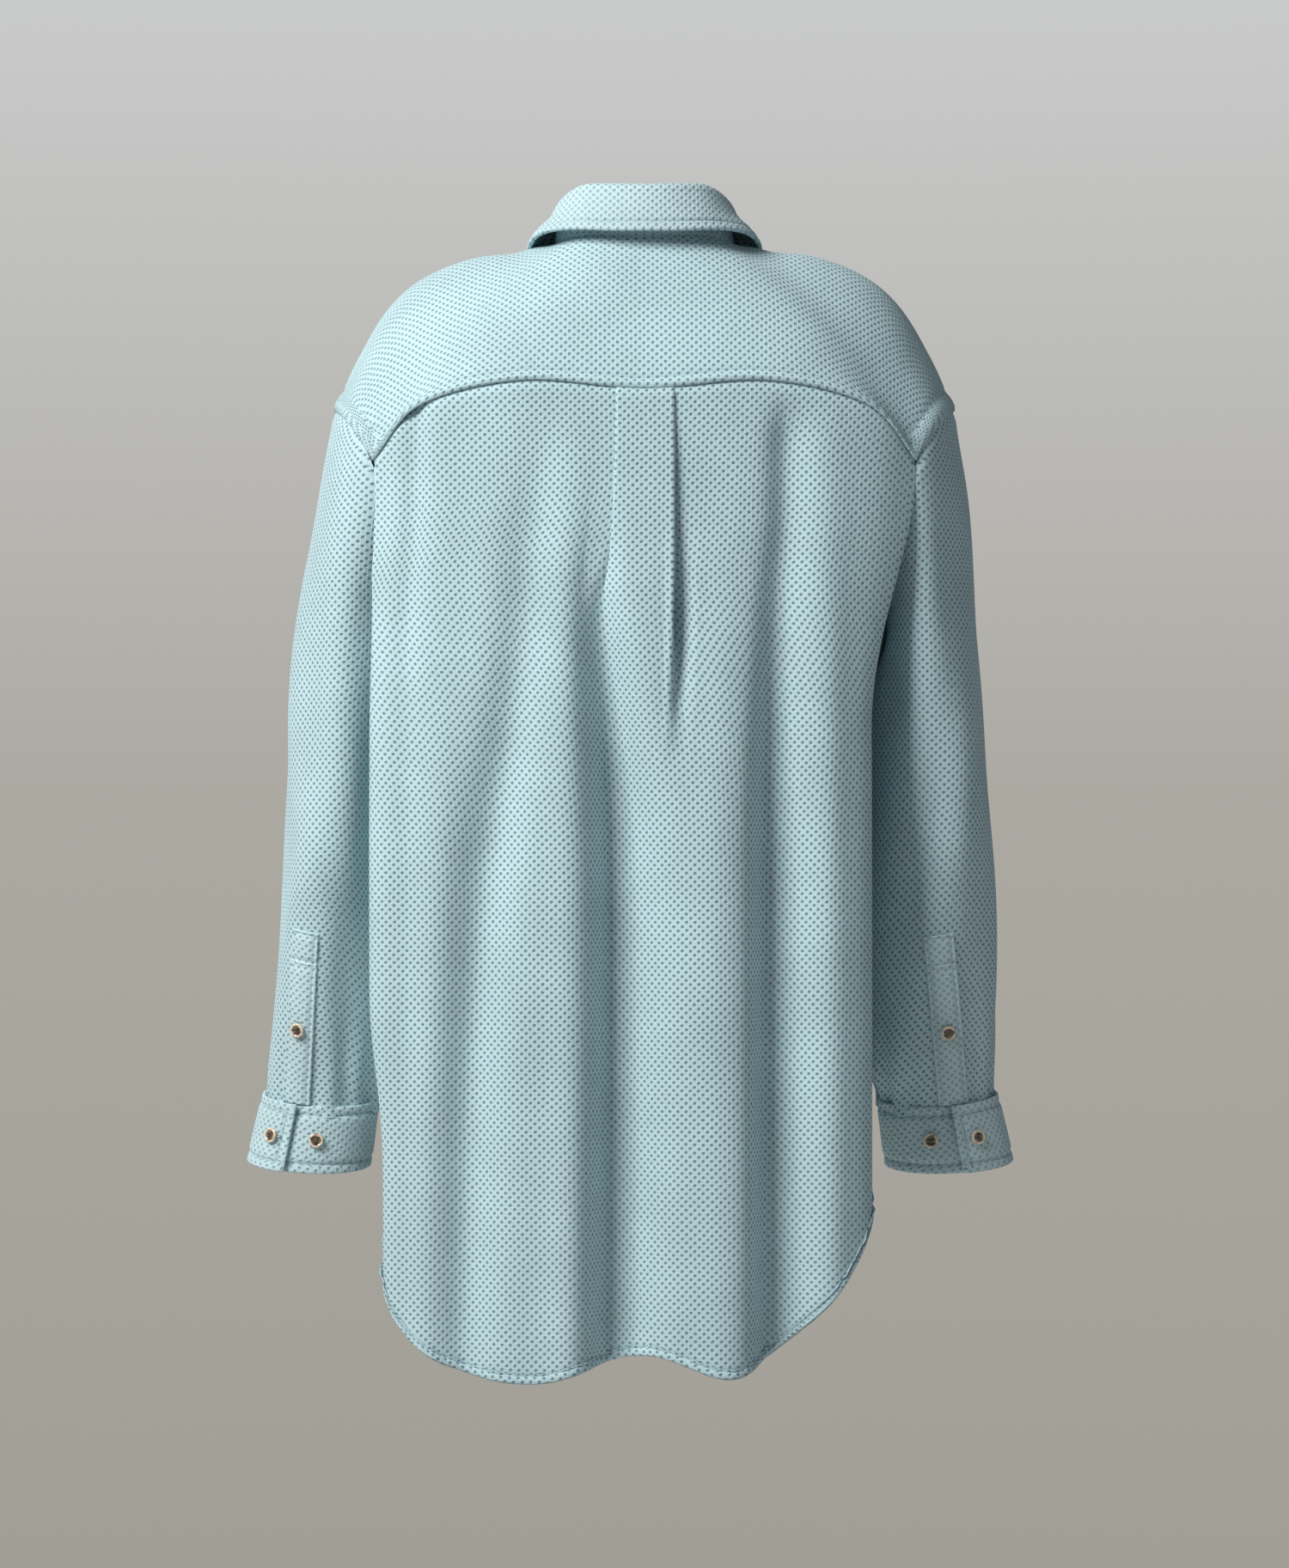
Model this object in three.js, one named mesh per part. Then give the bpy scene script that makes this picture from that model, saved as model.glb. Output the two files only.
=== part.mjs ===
// An oversized long-sleeved shirt gown: fold-over collar, horseshoe yoke, full button front,
// tower sleeve plackets, two-button cuffs and a curved shirt-tail hem, longer at the back.
// Millimetres, +Z up. The wearer faces +Y, so +X is the wearer's right.
// The origin lies on the middle line of the neck, level with the seam at the nape.
// Each piece of cloth is a thin closed sheet, and pieces sewn together keep a small gap.
import * as THREE from "three";
import { mergeVertices } from "three/addons/utils/BufferGeometryUtils.js";

// ---- Driving dimensions ----

const CLOTH_WALL = 1.0;
const INTERFACING_WALL = 0.5;
const LAYER_GAP = 0.35;
const SEAM_GAP = 1.2;
const ARMHOLE_GAP = 3.6;
const LAYER_STEP = (CLOTH_WALL + INTERFACING_WALL) / 2 + LAYER_GAP;
const STACK_WALL = 2 * CLOTH_WALL + INTERFACING_WALL + 2 * LAYER_GAP;
const FACING_LIFT = -(CLOTH_WALL + LAYER_GAP);

const NECK = { halfWidth: 66, halfDepth: 56, centreY: -6, frontDrop: 70, sideRise: 23 };

const ARMHOLE = {
  centreX: 207, centreY: 4, centreZ: -208,
  halfHeight: 82, halfDepth: 70, lean: 25, bow: 24, crown: 0.57, sleeveEase: 12,
};

// The yoke meets the armholes at these angles, counted from the shoulder tip.
const YOKE = { backAngle: 60, frontAngle: -35, seamZ: -116, seamRise: 6, seamY: -113, bulge: 262 };

// Half widths of the body below the armholes, at the back fold and at the side seam.
const BODY = {
  wing: { left: 201, right: 166 },
  side: { left: 168, right: 155 },
  sideY: 4, backDepth: 118, frontDepth: 105, chestWidth: 186, chestDepth: 94,
};

// Heights of the hem, from the left side seam round the back to the right side seam.
const BACK_HEM_Z = [-625, -700, -768, -826, -846, -826, -841, -792, -735, -690, -625];
// Heights of the front hem, from the button front out to a side seam.
const FRONT_HEM_Z = [-676, -690, -692, -688, -666, -625];
const HEM_WIDTH = 8;

// How the panels fall: the share of their height in which they reach the hem's plan, at the
// middle and less at the sides, and how far below its edge a front settles on the chest line.
const BACK_DRAPE = { reach: 0.4, sideLess: 0.15 };
const FRONT_DRAPE = { reach: 0.5, sideLess: 0.15, middleFall: 120, foldFall: 30, sideFall: 60 };

const FRONT_BAND = { halfWidth: 17, buttons: 6, firstDrop: 62, pitch: 88 };

const STAND = { height: 36, lean: 2, overlap: 12 };
const LEAF = {
  roll: 4.7, endAngle: 163, edgeHeight: 6, sideDrop: 3, pointDrop: 37,
  spread: 14, sideSpread: 4, pointSpread: 6, pointFrom: 122,
};

// Three rings down each sleeve: half a forearm's turn brings the cuff forward of the body.
const SLEEVES = {
  left: [
    { outer: 261, inner: 186, centreY: 12, halfDepth: 66, z: -330, rise: 18, backDrop: 0 },
    { outer: 272, inner: 196, centreY: 20, halfDepth: 58, z: -475, rise: 8, backDrop: 2 },
    { outer: 284, inner: 202, centreY: 38, halfDepth: 34, z: -641, rise: 2, backDrop: 7 },
  ],
  right: [
    { outer: 252, inner: 178, centreY: 12, halfDepth: 66, z: -330, rise: 18, backDrop: 0 },
    { outer: 262, inner: 178, centreY: 20, halfDepth: 58, z: -475, rise: 8, backDrop: 2 },
    { outer: 263, inner: 177, centreY: 38, halfDepth: 34, z: -641, rise: 2, backDrop: 7 },
  ],
};

// Angles are counted from the sleeve's outer side towards the back.
const CUFF = { height: 50, flare: 6, overlap: 26, edgeAngle: { left: 67, right: 78 } };
const CUFF_BUTTON = { fromEdge: -11, pitch: 26 };
const TOWER = {
  width: 22, length: 134, topAngle: { left: 66, right: 92 },
  bottomAngle: { left: 63, right: 74 }, buttonShare: 0.57, underWidth: 11,
};

const BUTTON = { radius: 5.7, thickness: 2.6, wellRadius: 3.3, wellDepth: 0.9, sides: 12 };
const THREAD = { radius: 1.5, height: 0.8, sides: 6 };
const NECK_LABEL = { width: 58, height: 26, fromNeck: 9 };
const CARE_LABEL = { width: 24, height: 48, aboveHem: 150 };

const SIDE_SIGN = { left: -1, right: 1 };
const SIDES = ["left", "right"];

// ---- Materials ----

const clothMaterial = () =>
  new THREE.MeshStandardMaterial({ color: 0xa9cbd2, roughness: 0.92, metalness: 0 });
const facingMaterial = () =>
  new THREE.MeshStandardMaterial({ color: 0x9dc1c9, roughness: 0.95, metalness: 0 });
const interfacingMaterial = () =>
  new THREE.MeshStandardMaterial({ color: 0xe9ecea, roughness: 0.98, metalness: 0 });
const hornMaterial = () =>
  new THREE.MeshStandardMaterial({ color: 0x8c7459, roughness: 0.3, metalness: 0 });
const threadMaterial = () =>
  new THREE.MeshStandardMaterial({ color: 0xc9dcdf, roughness: 0.8, metalness: 0 });
const labelMaterial = () =>
  new THREE.MeshStandardMaterial({ color: 0xf1f0ea, roughness: 0.7, metalness: 0 });

// ---- Small helpers ----

const shirt = new THREE.Group();
const radians = THREE.MathUtils.degToRad;
const clamp01 = (value) => Math.min(Math.max(value, 0), 1);
const mix = (from, to, share) => from + (to - from) * share;
const smooth = (share) => clamp01(share) ** 2 * (3 - 2 * clamp01(share));
const vector = (x, y, z) => new THREE.Vector3(x, y, z);
const BACKWARD = vector(0, -1, 0);
const FORWARD = vector(0, 1, 0);

/** A smooth curve through the points, asked by a share of its stretches. */
function spline(points) {
  const curve = new THREE.CatmullRomCurve3(points, false, "catmullrom", 0.5);
  return (share) => curve.getPoint(clamp01(share));
}

/** How a surface runs at (u, v): its two rates of change. */
function tangents(place, u, v) {
  const step = 1e-3;
  const [u0, u1] = [Math.max(u - step, 0), Math.min(u + step, 1)];
  const [v0, v1] = [Math.max(v - step, 0), Math.min(v + step, 1)];
  const across = place(u1, v).sub(place(u0, v)).divideScalar(u1 - u0);
  const down = place(u, v1).sub(place(u, v0)).divideScalar(v1 - v0);
  return { across, down };
}

/** The surface's normal at (u, v), turned to the side that `faces` says at its middle. */
function normalOf(place, faces) {
  const cross = (u, v) => {
    const { across, down } = tangents(place, u, v);
    return across.cross(down).normalize();
  };
  const turn = Math.sign(cross(0.5, 0.5).dot(faces));
  return (u, v) => cross(u, v).multiplyScalar(turn);
}

/** Takes the given lengths off a surface's edges. */
function trimmed(place, { start = 0, end = 0, top = 0, bottom = 0 }) {
  return (u, v) => {
    const from = start / tangents(place, 0, v).across.length();
    const to = 1 - end / tangents(place, 1, v).across.length();
    const share = mix(from, to, u);
    const high = top / tangents(place, share, 0).down.length();
    const low = 1 - bottom / tangents(place, share, 1).down.length();
    return place(share, mix(high, low, v));
  };
}

/** Turns a geometry's faces outwards if they point in. */
function facingOut(geometry) {
  const position = geometry.attributes.position;
  const index = geometry.index;
  const corner = (k) => vector().fromBufferAttribute(position, index.getX(k));
  let volume = 0;
  for (let k = 0; k < index.count; k += 3) {
    volume += corner(k).dot(corner(k + 1).cross(corner(k + 2)));
  }
  if (volume < 0) {
    for (let k = 0; k < index.count; k += 3) {
      const second = index.getX(k + 1);
      index.setX(k + 1, index.getX(k + 2));
      index.setX(k + 2, second);
    }
  }
  return geometry;
}

/** Splits the quads of a box's far face along the same diagonal as its near face. */
function matchDiagonals(geometry) {
  const { index, groups } = geometry;
  const { start, count } = groups[5];
  for (let k = start; k < start + count; k += 6) {
    const [a, b, d, c] = [0, 1, 2, 4].map((step) => index.getX(k + step));
    [a, b, c, a, c, d].forEach((corner, step) => index.setX(k + step, corner));
  }
}

/** Keeps only the positions of a geometry and joins its shared corners. */
function welded(geometry) {
  geometry.deleteAttribute("normal");
  geometry.deleteAttribute("uv");
  const merged = facingOut(mergeVertices(geometry, 1e-4));
  merged.computeVertexNormals();
  return merged;
}

/**
 * A sheet of cloth: a flat box whose two faces are laid on the surface `place(u, v)`.
 * `lift` moves its middle along the surface's normal, which points as `faces` says.
 */
function sheet(place, { columns, rows, faces, wall = CLOTH_WALL, lift = 0 }) {
  const geometry = new THREE.BoxGeometry(1, 1, 1, columns, rows, 1);
  matchDiagonals(geometry);
  const position = geometry.attributes.position;
  const normal = normalOf(place, faces);
  for (let k = 0; k < position.count; k += 1) {
    const u = position.getX(k) + 0.5;
    const v = 0.5 - position.getY(k);
    const height = lift + position.getZ(k) * wall;
    const spot = place(u, v).addScaledVector(normal(u, v), height);
    position.setXYZ(k, spot.x, spot.y, spot.z);
  }
  return welded(geometry);
}

/** A tube of cloth, open at both ends, round the closed surface `place(turn, v)`. */
function tube(place, { around, rows, faces, wall = CLOTH_WALL }) {
  const profile = [];
  for (let row = 0; row <= rows; row += 1) {
    profile.push(new THREE.Vector2(2, row / rows));
  }
  for (let row = rows; row >= 0; row -= 1) {
    profile.push(new THREE.Vector2(1, row / rows));
  }
  profile.push(profile[0].clone());
  const geometry = new THREE.LatheGeometry(profile, around);
  const position = geometry.attributes.position;
  const normal = normalOf(place, faces);
  for (let k = 0; k < position.count; k += 1) {
    const [x, v, z] = [position.getX(k), position.getY(k), position.getZ(k)];
    const turn = (Math.round((Math.atan2(x, z) / (2 * Math.PI)) * around) + around) % around;
    const u = turn / around;
    const height = (Math.hypot(x, z) - 1.5) * wall;
    const spot = place(u, v).addScaledVector(normal(u, v), height);
    position.setXYZ(k, spot.x, spot.y, spot.z);
  }
  return welded(geometry);
}

/** Adds a named piece to the shirt. */
function add(name, geometry, material) {
  const mesh = new THREE.Mesh(geometry, material);
  mesh.name = name;
  shirt.add(mesh);
  return mesh;
}

/** Adds an outer cloth, a stiff interfacing and an inner facing on one surface. */
function addStack(names, place, options) {
  const [outer, core, inner] = names;
  add(outer, sheet(place, { ...options, lift: LAYER_STEP }), clothMaterial());
  const coreOptions = { ...options, wall: INTERFACING_WALL };
  add(core, sheet(place, coreOptions), interfacingMaterial());
  add(inner, sheet(place, { ...options, lift: -LAYER_STEP }), facingMaterial());
}

// ---- Seam lines ----

/** The neck seam. The angle is 0 at the nape and grows towards the wearer's right. */
function neckRing(degrees) {
  const [sine, cosine] = [Math.sin(radians(degrees)), Math.cos(radians(degrees))];
  return vector(
    NECK.halfWidth * sine,
    NECK.centreY - NECK.halfDepth * cosine,
    NECK.sideRise * sine * sine - (NECK.frontDrop * (1 - cosine)) / 2,
  );
}

/** The armhole seam. The angle is 0 at the shoulder tip, 90 at the back, 180 at the underarm. */
function armRing(side, degrees) {
  const [sine, cosine] = [Math.sin(radians(degrees)), Math.cos(radians(degrees))];
  const reach = ARMHOLE.centreX + ARMHOLE.lean * cosine - ARMHOLE.bow * Math.abs(sine) ** 1.5;
  return vector(
    SIDE_SIGN[side] * reach,
    ARMHOLE.centreY - ARMHOLE.halfDepth * sine * (1 + ARMHOLE.crown * cosine),
    ARMHOLE.centreZ + ARMHOLE.halfHeight * cosine,
  );
}

/** The seam between the yoke and the back, from the left armhole to the right one. */
const backSeam = spline([
  armRing("left", YOKE.backAngle),
  vector(-165, YOKE.seamY + 18, YOKE.seamZ - 2 * YOKE.seamRise),
  vector(-90, YOKE.seamY + 4, YOKE.seamZ + YOKE.seamRise),
  vector(0, YOKE.seamY, YOKE.seamZ),
  vector(90, YOKE.seamY + 4, YOKE.seamZ + YOKE.seamRise),
  vector(165, YOKE.seamY + 18, YOKE.seamZ - 2 * YOKE.seamRise),
  armRing("right", YOKE.backAngle),
]);

// ---- Body surfaces ----

/** The back half of the hem on one side, from the side seam to the middle of the back. */
function backOutline(side, heights) {
  const [wing, seam] = [BODY.wing[side], BODY.side[side]];
  const sign = SIDE_SIGN[side];
  const plan = [
    [seam, BODY.sideY],
    [mix(seam, wing, 0.5), -0.42 * BODY.backDepth],
    [wing, -0.71 * BODY.backDepth],
    [0.8 * wing, -0.88 * BODY.backDepth],
    [0.42 * wing, -0.98 * BODY.backDepth],
    [0, -BODY.backDepth],
  ];
  return plan.map(([x, y], k) => vector(sign * x, y, heights[k]));
}

const rightHeights = BACK_HEM_Z.slice(5).reverse();
const backHem = spline([
  ...backOutline("left", BACK_HEM_Z.slice(0, 6)),
  ...backOutline("right", rightHeights).reverse().slice(1),
]);

/** The front hem on one side, from the button front to the side seam. */
function frontOutline(side) {
  const seam = BODY.side[side];
  const sign = SIDE_SIGN[side];
  const plan = [
    [FRONT_BAND.halfWidth, BODY.frontDepth],
    [0.4 * seam, 0.99 * BODY.frontDepth],
    [0.7 * seam, 0.93 * BODY.frontDepth],
    [seam + 8, 0.7 * BODY.frontDepth],
    [seam + 4, 0.35 * BODY.frontDepth],
    [seam, BODY.sideY],
  ];
  return spline(plan.map(([x, y], k) => vector(sign * x, y, FRONT_HEM_Z[k])));
}

const frontHem = { left: frontOutline("left"), right: frontOutline("right") };

/** The front's plan at the chest on one side, from the button front to the side seam. */
function chestOutline(side) {
  const sign = SIDE_SIGN[side];
  const underarm = armRing("right", 180).x;
  const plan = [
    [FRONT_BAND.halfWidth, 0.9 * BODY.chestDepth],
    [0.33 * BODY.chestWidth, 0.94 * BODY.chestDepth],
    [0.63 * BODY.chestWidth, BODY.chestDepth],
    [BODY.chestWidth, 0.9 * BODY.chestDepth],
    [0.96 * underarm, 0.5 * BODY.chestDepth],
    [underarm, BODY.sideY],
  ];
  return spline(plan.map(([x, y]) => vector(sign * x, y, 0)));
}

const frontChest = { left: chestOutline("left"), right: chestOutline("right") };

/** A point on a body panel that hangs from `top` and falls to `hem`. */
function hang(top, hem, v, reach) {
  const out = smooth(v / reach);
  return vector(mix(top.x, hem.x, out), mix(top.y, hem.y, out), mix(top.z, hem.z, v));
}

const BACK_ARM_SHARE = 0.2;

/** The back panel's upper edge: underarm, armhole, yoke seam, armhole, underarm. */
function backTop(u) {
  const fromMiddle = Math.abs(u - 0.5);
  if (fromMiddle < 0.5 - BACK_ARM_SHARE) {
    return backSeam((u - BACK_ARM_SHARE) / (1 - 2 * BACK_ARM_SHARE));
  }
  const share = (0.5 - fromMiddle) / BACK_ARM_SHARE;
  return armRing(u < 0.5 ? "left" : "right", mix(180, YOKE.backAngle, share));
}

/** The back panel: u runs from the left side seam to the right one, v runs down. */
function backPanel(u, v) {
  const reach = BACK_DRAPE.reach - BACK_DRAPE.sideLess * (2 * u - 1) ** 2;
  return hang(backTop(u), backHem(u), v, reach);
}

const YOKE_ARM_SHARE = 0.25;
const YOKE_NECK_FRONT = 118;
const YOKE_NECK_BACK = 60;

/** The yoke: u runs from the left front seam round the back to the right, v from the neck out. */
function yoke(u, v) {
  const side = u < 0.5 ? "left" : "right";
  const fromEnd = 0.5 - Math.abs(u - 0.5);
  const share = clamp01(fromEnd / YOKE_ARM_SHARE);
  const inArm = fromEnd < YOKE_ARM_SHARE;
  const across = clamp01((u - YOKE_ARM_SHARE) / (1 - 2 * YOKE_ARM_SHARE));
  const sideAngle = SIDE_SIGN[side] * mix(YOKE_NECK_FRONT, YOKE_NECK_BACK, share);
  const neckAngle = inArm ? sideAngle : mix(-YOKE_NECK_BACK, YOKE_NECK_BACK, across);
  const edgeAngle = mix(YOKE.frontAngle, YOKE.backAngle, share);
  const edge = inArm ? armRing(side, edgeAngle) : backSeam(across);
  const span = YOKE.backAngle - YOKE.frontAngle;
  const crest = (-YOKE.frontAngle / span) * YOKE_ARM_SHARE;
  const weight = 0.12 + 0.88 * Math.exp(-(((fromEnd - crest) / 0.2) ** 2));
  const rise = YOKE.bulge * weight * v ** 1.4 * (1 - v);
  const spot = neckRing(neckAngle).lerp(edge, v);
  return spot.add(vector(0, -0.5 * rise * (1 - weight), rise));
}

const FRONT_NECK_SHARE = 0.2;
const FRONT_ARM_SHARE = 0.6;

/** A front panel's upper edge: neck seam, yoke seam, armhole down to the underarm. */
function frontTop(side, u) {
  const sign = SIDE_SIGN[side];
  const bandAngle = 180 - Math.asin(FRONT_BAND.halfWidth / NECK.halfWidth) * (180 / Math.PI);
  if (u < FRONT_NECK_SHARE) {
    return neckRing(sign * mix(bandAngle, YOKE_NECK_FRONT, u / FRONT_NECK_SHARE));
  }
  if (u < FRONT_ARM_SHARE) {
    const along = (u - FRONT_NECK_SHARE) / (FRONT_ARM_SHARE - FRONT_NECK_SHARE);
    return yoke(side === "left" ? 0 : 1, along);
  }
  const share = (u - FRONT_ARM_SHARE) / (1 - FRONT_ARM_SHARE);
  return armRing(side, mix(YOKE.frontAngle, -180, share));
}

/** A front panel: u runs from the button front to the side seam, v runs down. */
function frontPanel(side) {
  return (u, v) => {
    const top = frontTop(side, u);
    const hem = frontHem[side](u);
    const chest = frontChest[side](u);
    const { reach, sideLess, middleFall, foldFall, sideFall } = FRONT_DRAPE;
    const towardsMiddle = smooth((FRONT_ARM_SHARE - u) / 0.25);
    const towardsSide = smooth((u - FRONT_ARM_SHARE - 0.1) / 0.2);
    const nearMiddle = mix(foldFall, middleFall, towardsMiddle);
    const settle = mix(nearMiddle, sideFall, towardsSide);
    const settled = smooth((v * (top.z - hem.z)) / settle);
    const out = smooth(v / (reach - sideLess * u * u));
    const x = mix(mix(top.x, chest.x, settled), hem.x, out);
    const y = mix(mix(top.y, chest.y, settled), hem.y, out);
    return vector(x, y, mix(top.z, hem.z, v));
  };
}

/** The band of the button front: u runs from left to right, v runs down. */
function frontBand(u, v) {
  const edge = frontPanel("right")(0, v);
  return vector(mix(-1, 1, u) * FRONT_BAND.halfWidth, edge.y, edge.z);
}

/** A patch of a surface between two shares each way. */
const patch = (place, u0, u1, v0, v1) => (u, v) => place(mix(u0, u1, u), mix(v0, v1, v));

/** A narrow band along a panel's lower edge. */
function hemBand(place, width) {
  return (u, v) => {
    const depth = width / tangents(place, u, 1).down.length();
    return place(u, mix(1 - depth, 1, v));
  };
}

/** The share of a panel's height that a length takes at u. */
const heightShare = (place, u, length) => length / tangents(place, u, 0.7).down.length();

/** The share of a panel's width that a length takes at (u, v). */
const widthShare = (place, u, v, length) => length / tangents(place, u, v).across.length();

// ---- Body pieces ----

const BACK_TRIM = { start: SEAM_GAP, end: SEAM_GAP, top: SEAM_GAP, bottom: 0 };

/** Widens the gap along the armhole, where the seam runs almost level with the cloth. */
function withArmholeGap(place, isArmhole) {
  return (u, v) => {
    const extra = isArmhole(u) * (ARMHOLE_GAP - SEAM_GAP);
    const high = extra / tangents(place, u, 0).down.length();
    return place(u, mix(high, 1, v));
  };
}

const backArm = (u) => smooth((Math.abs(u - 0.5) - 0.28) / 0.04);
const frontArm = (u) => smooth((u - 0.58) / 0.04);
const backCloth = withArmholeGap(trimmed(backPanel, BACK_TRIM), backArm);
const backOptions = { columns: 30, rows: 10, faces: BACKWARD };
add("back_panel", sheet(backCloth, backOptions), clothMaterial());

const hemOptions = { rows: 1, lift: FACING_LIFT };
const backHemOptions = { ...hemOptions, columns: 30, faces: BACKWARD };
add("hem_back", sheet(hemBand(backCloth, HEM_WIDTH), backHemOptions), facingMaterial());

const YOKE_TRIM = { start: SEAM_GAP, end: SEAM_GAP, top: SEAM_GAP, bottom: SEAM_GAP };
const yokeCloth = trimmed(yoke, YOKE_TRIM);
const yokeOptions = { columns: 30, rows: 5, faces: vector(0, -0.4, 1) };
add("yoke_outer", sheet(yokeCloth, yokeOptions), clothMaterial());
add("yoke_lining", sheet(yokeCloth, { ...yokeOptions, lift: FACING_LIFT }), facingMaterial());

for (const side of SIDES) {
  const trim = { start: SEAM_GAP, end: SEAM_GAP, top: SEAM_GAP };
  const place = withArmholeGap(trimmed(frontPanel(side), trim), frontArm);
  const options = { columns: 15, rows: 10, faces: FORWARD };
  add(`front_panel_${side}`, sheet(place, options), clothMaterial());
  const hem = { ...hemOptions, columns: 15, faces: FORWARD };
  add(`hem_front_${side}`, sheet(hemBand(place, HEM_WIDTH), hem), facingMaterial());
}

const bandNames = ["front_band_top", "front_band_interfacing", "front_band_under"];
const bandCloth = trimmed(frontBand, { top: SEAM_GAP });
addStack(bandNames, bandCloth, { columns: 1, rows: 12, faces: FORWARD });

const neckLabelHalf = widthShare(yoke, 0.5, 0.15, NECK_LABEL.width / 2);
const yokeLength = tangents(yoke, 0.5, 0.2).down.length();
const neckLabel = patch(
  yoke,
  0.5 - neckLabelHalf,
  0.5 + neckLabelHalf,
  NECK_LABEL.fromNeck / yokeLength,
  (NECK_LABEL.fromNeck + NECK_LABEL.height) / yokeLength,
);
const neckLabelOptions = { columns: 4, rows: 1, wall: INTERFACING_WALL, lift: 3 * FACING_LIFT };
add("neck_label", sheet(neckLabel, { ...neckLabelOptions, faces: BACKWARD }), labelMaterial());

const careWidth = widthShare(backPanel, 0.06, 0.8, CARE_LABEL.width);
const careTop = 1 - heightShare(backPanel, 0.06, CARE_LABEL.aboveHem);
const careBottom = careTop + heightShare(backPanel, 0.06, CARE_LABEL.height);
const careLabel = patch(backPanel, 0.04, 0.04 + careWidth, careTop, careBottom);
const careOptions = { columns: 2, rows: 1, wall: INTERFACING_WALL, lift: 2.5 * FACING_LIFT };
add("care_label", sheet(careLabel, { ...careOptions, faces: BACKWARD }), labelMaterial());

// ---- Collar ----

/** The direction straight out from the neck at an angle. */
const outFromNeck = (degrees) =>
  vector(Math.sin(radians(degrees)), -Math.cos(radians(degrees)), 0);

const STAND_END = 180 + (STAND.overlap / NECK.halfWidth) * (180 / Math.PI);

/** How far the stand's left end is lifted to pass over its right end at the throat. */
function standStep(degrees) {
  return (STACK_WALL + 3 * LAYER_GAP) * smooth((-degrees - 120) / 50);
}

/** The collar stand: u runs from its left end round the nape to its right end, v runs down. */
function stand(u, v) {
  const degrees = mix(-STAND_END, STAND_END, u);
  const up = mix(STAND.height, SEAM_GAP + CLOTH_WALL, v);
  const out = standStep(degrees) - STAND.lean * (up / STAND.height);
  return neckRing(degrees).addScaledVector(outFromNeck(degrees), out).add(vector(0, 0, up));
}

/** The collar leaf: v rolls over the stand's top edge, then falls to the leaf's edge. */
function leaf(u, v) {
  const degrees = mix(-LEAF.endAngle, LEAF.endAngle, u);
  const sine = Math.sin(radians(degrees));
  const front = smooth((Math.abs(degrees) - LEAF.pointFrom) / (LEAF.endAngle - LEAF.pointFrom));
  const fallen = STAND.height - LEAF.edgeHeight;
  const drop = fallen + LEAF.sideDrop * sine * sine + LEAF.pointDrop * front;
  const spread = LEAF.spread + LEAF.sideSpread * sine * sine + LEAF.pointSpread * front;
  const roll = Math.PI * (1 - clamp01(2 * v));
  const fall = clamp01(2 * v - 1);
  const radius = LEAF.roll + standStep(degrees) / 2;
  const out = mix(radius * Math.cos(roll), spread + radius, fall) + standStep(degrees) / 2;
  const up = radius * Math.sin(roll) - drop * fall;
  const foot = neckRing(degrees).add(vector(0, 0, STAND.height + up));
  return foot.addScaledVector(outFromNeck(degrees), out - STAND.lean);
}

const standNames = ["collar_stand_outer", "collar_stand_interfacing", "collar_stand_inner"];
addStack(standNames, stand, { columns: 30, rows: 1, faces: BACKWARD });
const leafNames = ["collar_leaf_upper", "collar_leaf_interfacing", "collar_leaf_under"];
addStack(leafNames, leaf, { columns: 24, rows: 6, faces: BACKWARD });

// ---- Sleeves ----

/** A level ring of a sleeve, asked by the angle from its outer side towards the back. */
function sleeveRing(side, ring, degrees) {
  const [sine, cosine] = [Math.sin(radians(degrees)), Math.cos(radians(degrees))];
  const middle = (ring.outer + ring.inner) / 2;
  const half = (ring.outer - ring.inner) / 2;
  return vector(
    SIDE_SIGN[side] * (middle + half * cosine),
    ring.centreY - ring.halfDepth * sine,
    ring.z + ring.rise * cosine - ring.backDrop * sine,
  );
}

/** The sleeve's surface at an angle, v running from the armhole to the cuff. */
function sleeveAt(side, degrees, v) {
  const rings = SLEEVES[side].map((ring) => sleeveRing(side, ring, degrees));
  const ease = (ARMHOLE.sleeveEase * (1 - Math.cos(radians(degrees)))) / 2;
  const first = armRing(side, degrees).add(vector(SIDE_SIGN[side] * ease, 0, 0));
  return spline([first, ...rings])(v);
}

/** How fast the back of a sleeve runs down beside its slit. */
const slitRate = (side) => tangents((_, v) => sleeveAt(side, 90, v), 0, 0.87).down.length();

/** The ring of a cuff: the sleeve's lowest ring, moved down and out. */
function cuffAt(side, degrees, v, out) {
  const last = SLEEVES[side][2];
  const grow = out + CUFF.flare * v;
  const shift = CUFF.flare * v;
  const ring = {
    ...last,
    outer: last.outer + grow + shift,
    inner: last.inner - out + shift,
    halfDepth: last.halfDepth + out,
    z: last.z - SEAM_GAP - CUFF.height * v,
  };
  return sleeveRing(side, ring, degrees);
}

/** A cuff: u winds from the overlap's edge round the arm to the end of the underlap. */
function cuff(side) {
  return (u, v) => {
    const degrees = CUFF.edgeAngle[side] - u * (360 + CUFF.overlap);
    const step = STACK_WALL + 5 * LAYER_GAP;
    return cuffAt(side, degrees, v, step * (1 - smooth(u / 0.4)));
  };
}

/** A strip that lies along the sleeve's slit. */
function sleeveStrip(side, width, shift) {
  return (u, v) => {
    const along = mix(1 - TOWER.length / slitRate(side), 1, v);
    const middle = mix(TOWER.topAngle[side], TOWER.bottomAngle[side], v);
    const rate = sleeveAt(side, middle + 1, along).distanceTo(sleeveAt(side, middle, along));
    return sleeveAt(side, middle + (shift + (u - 0.5) * width) / rate, along);
  };
}

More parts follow.
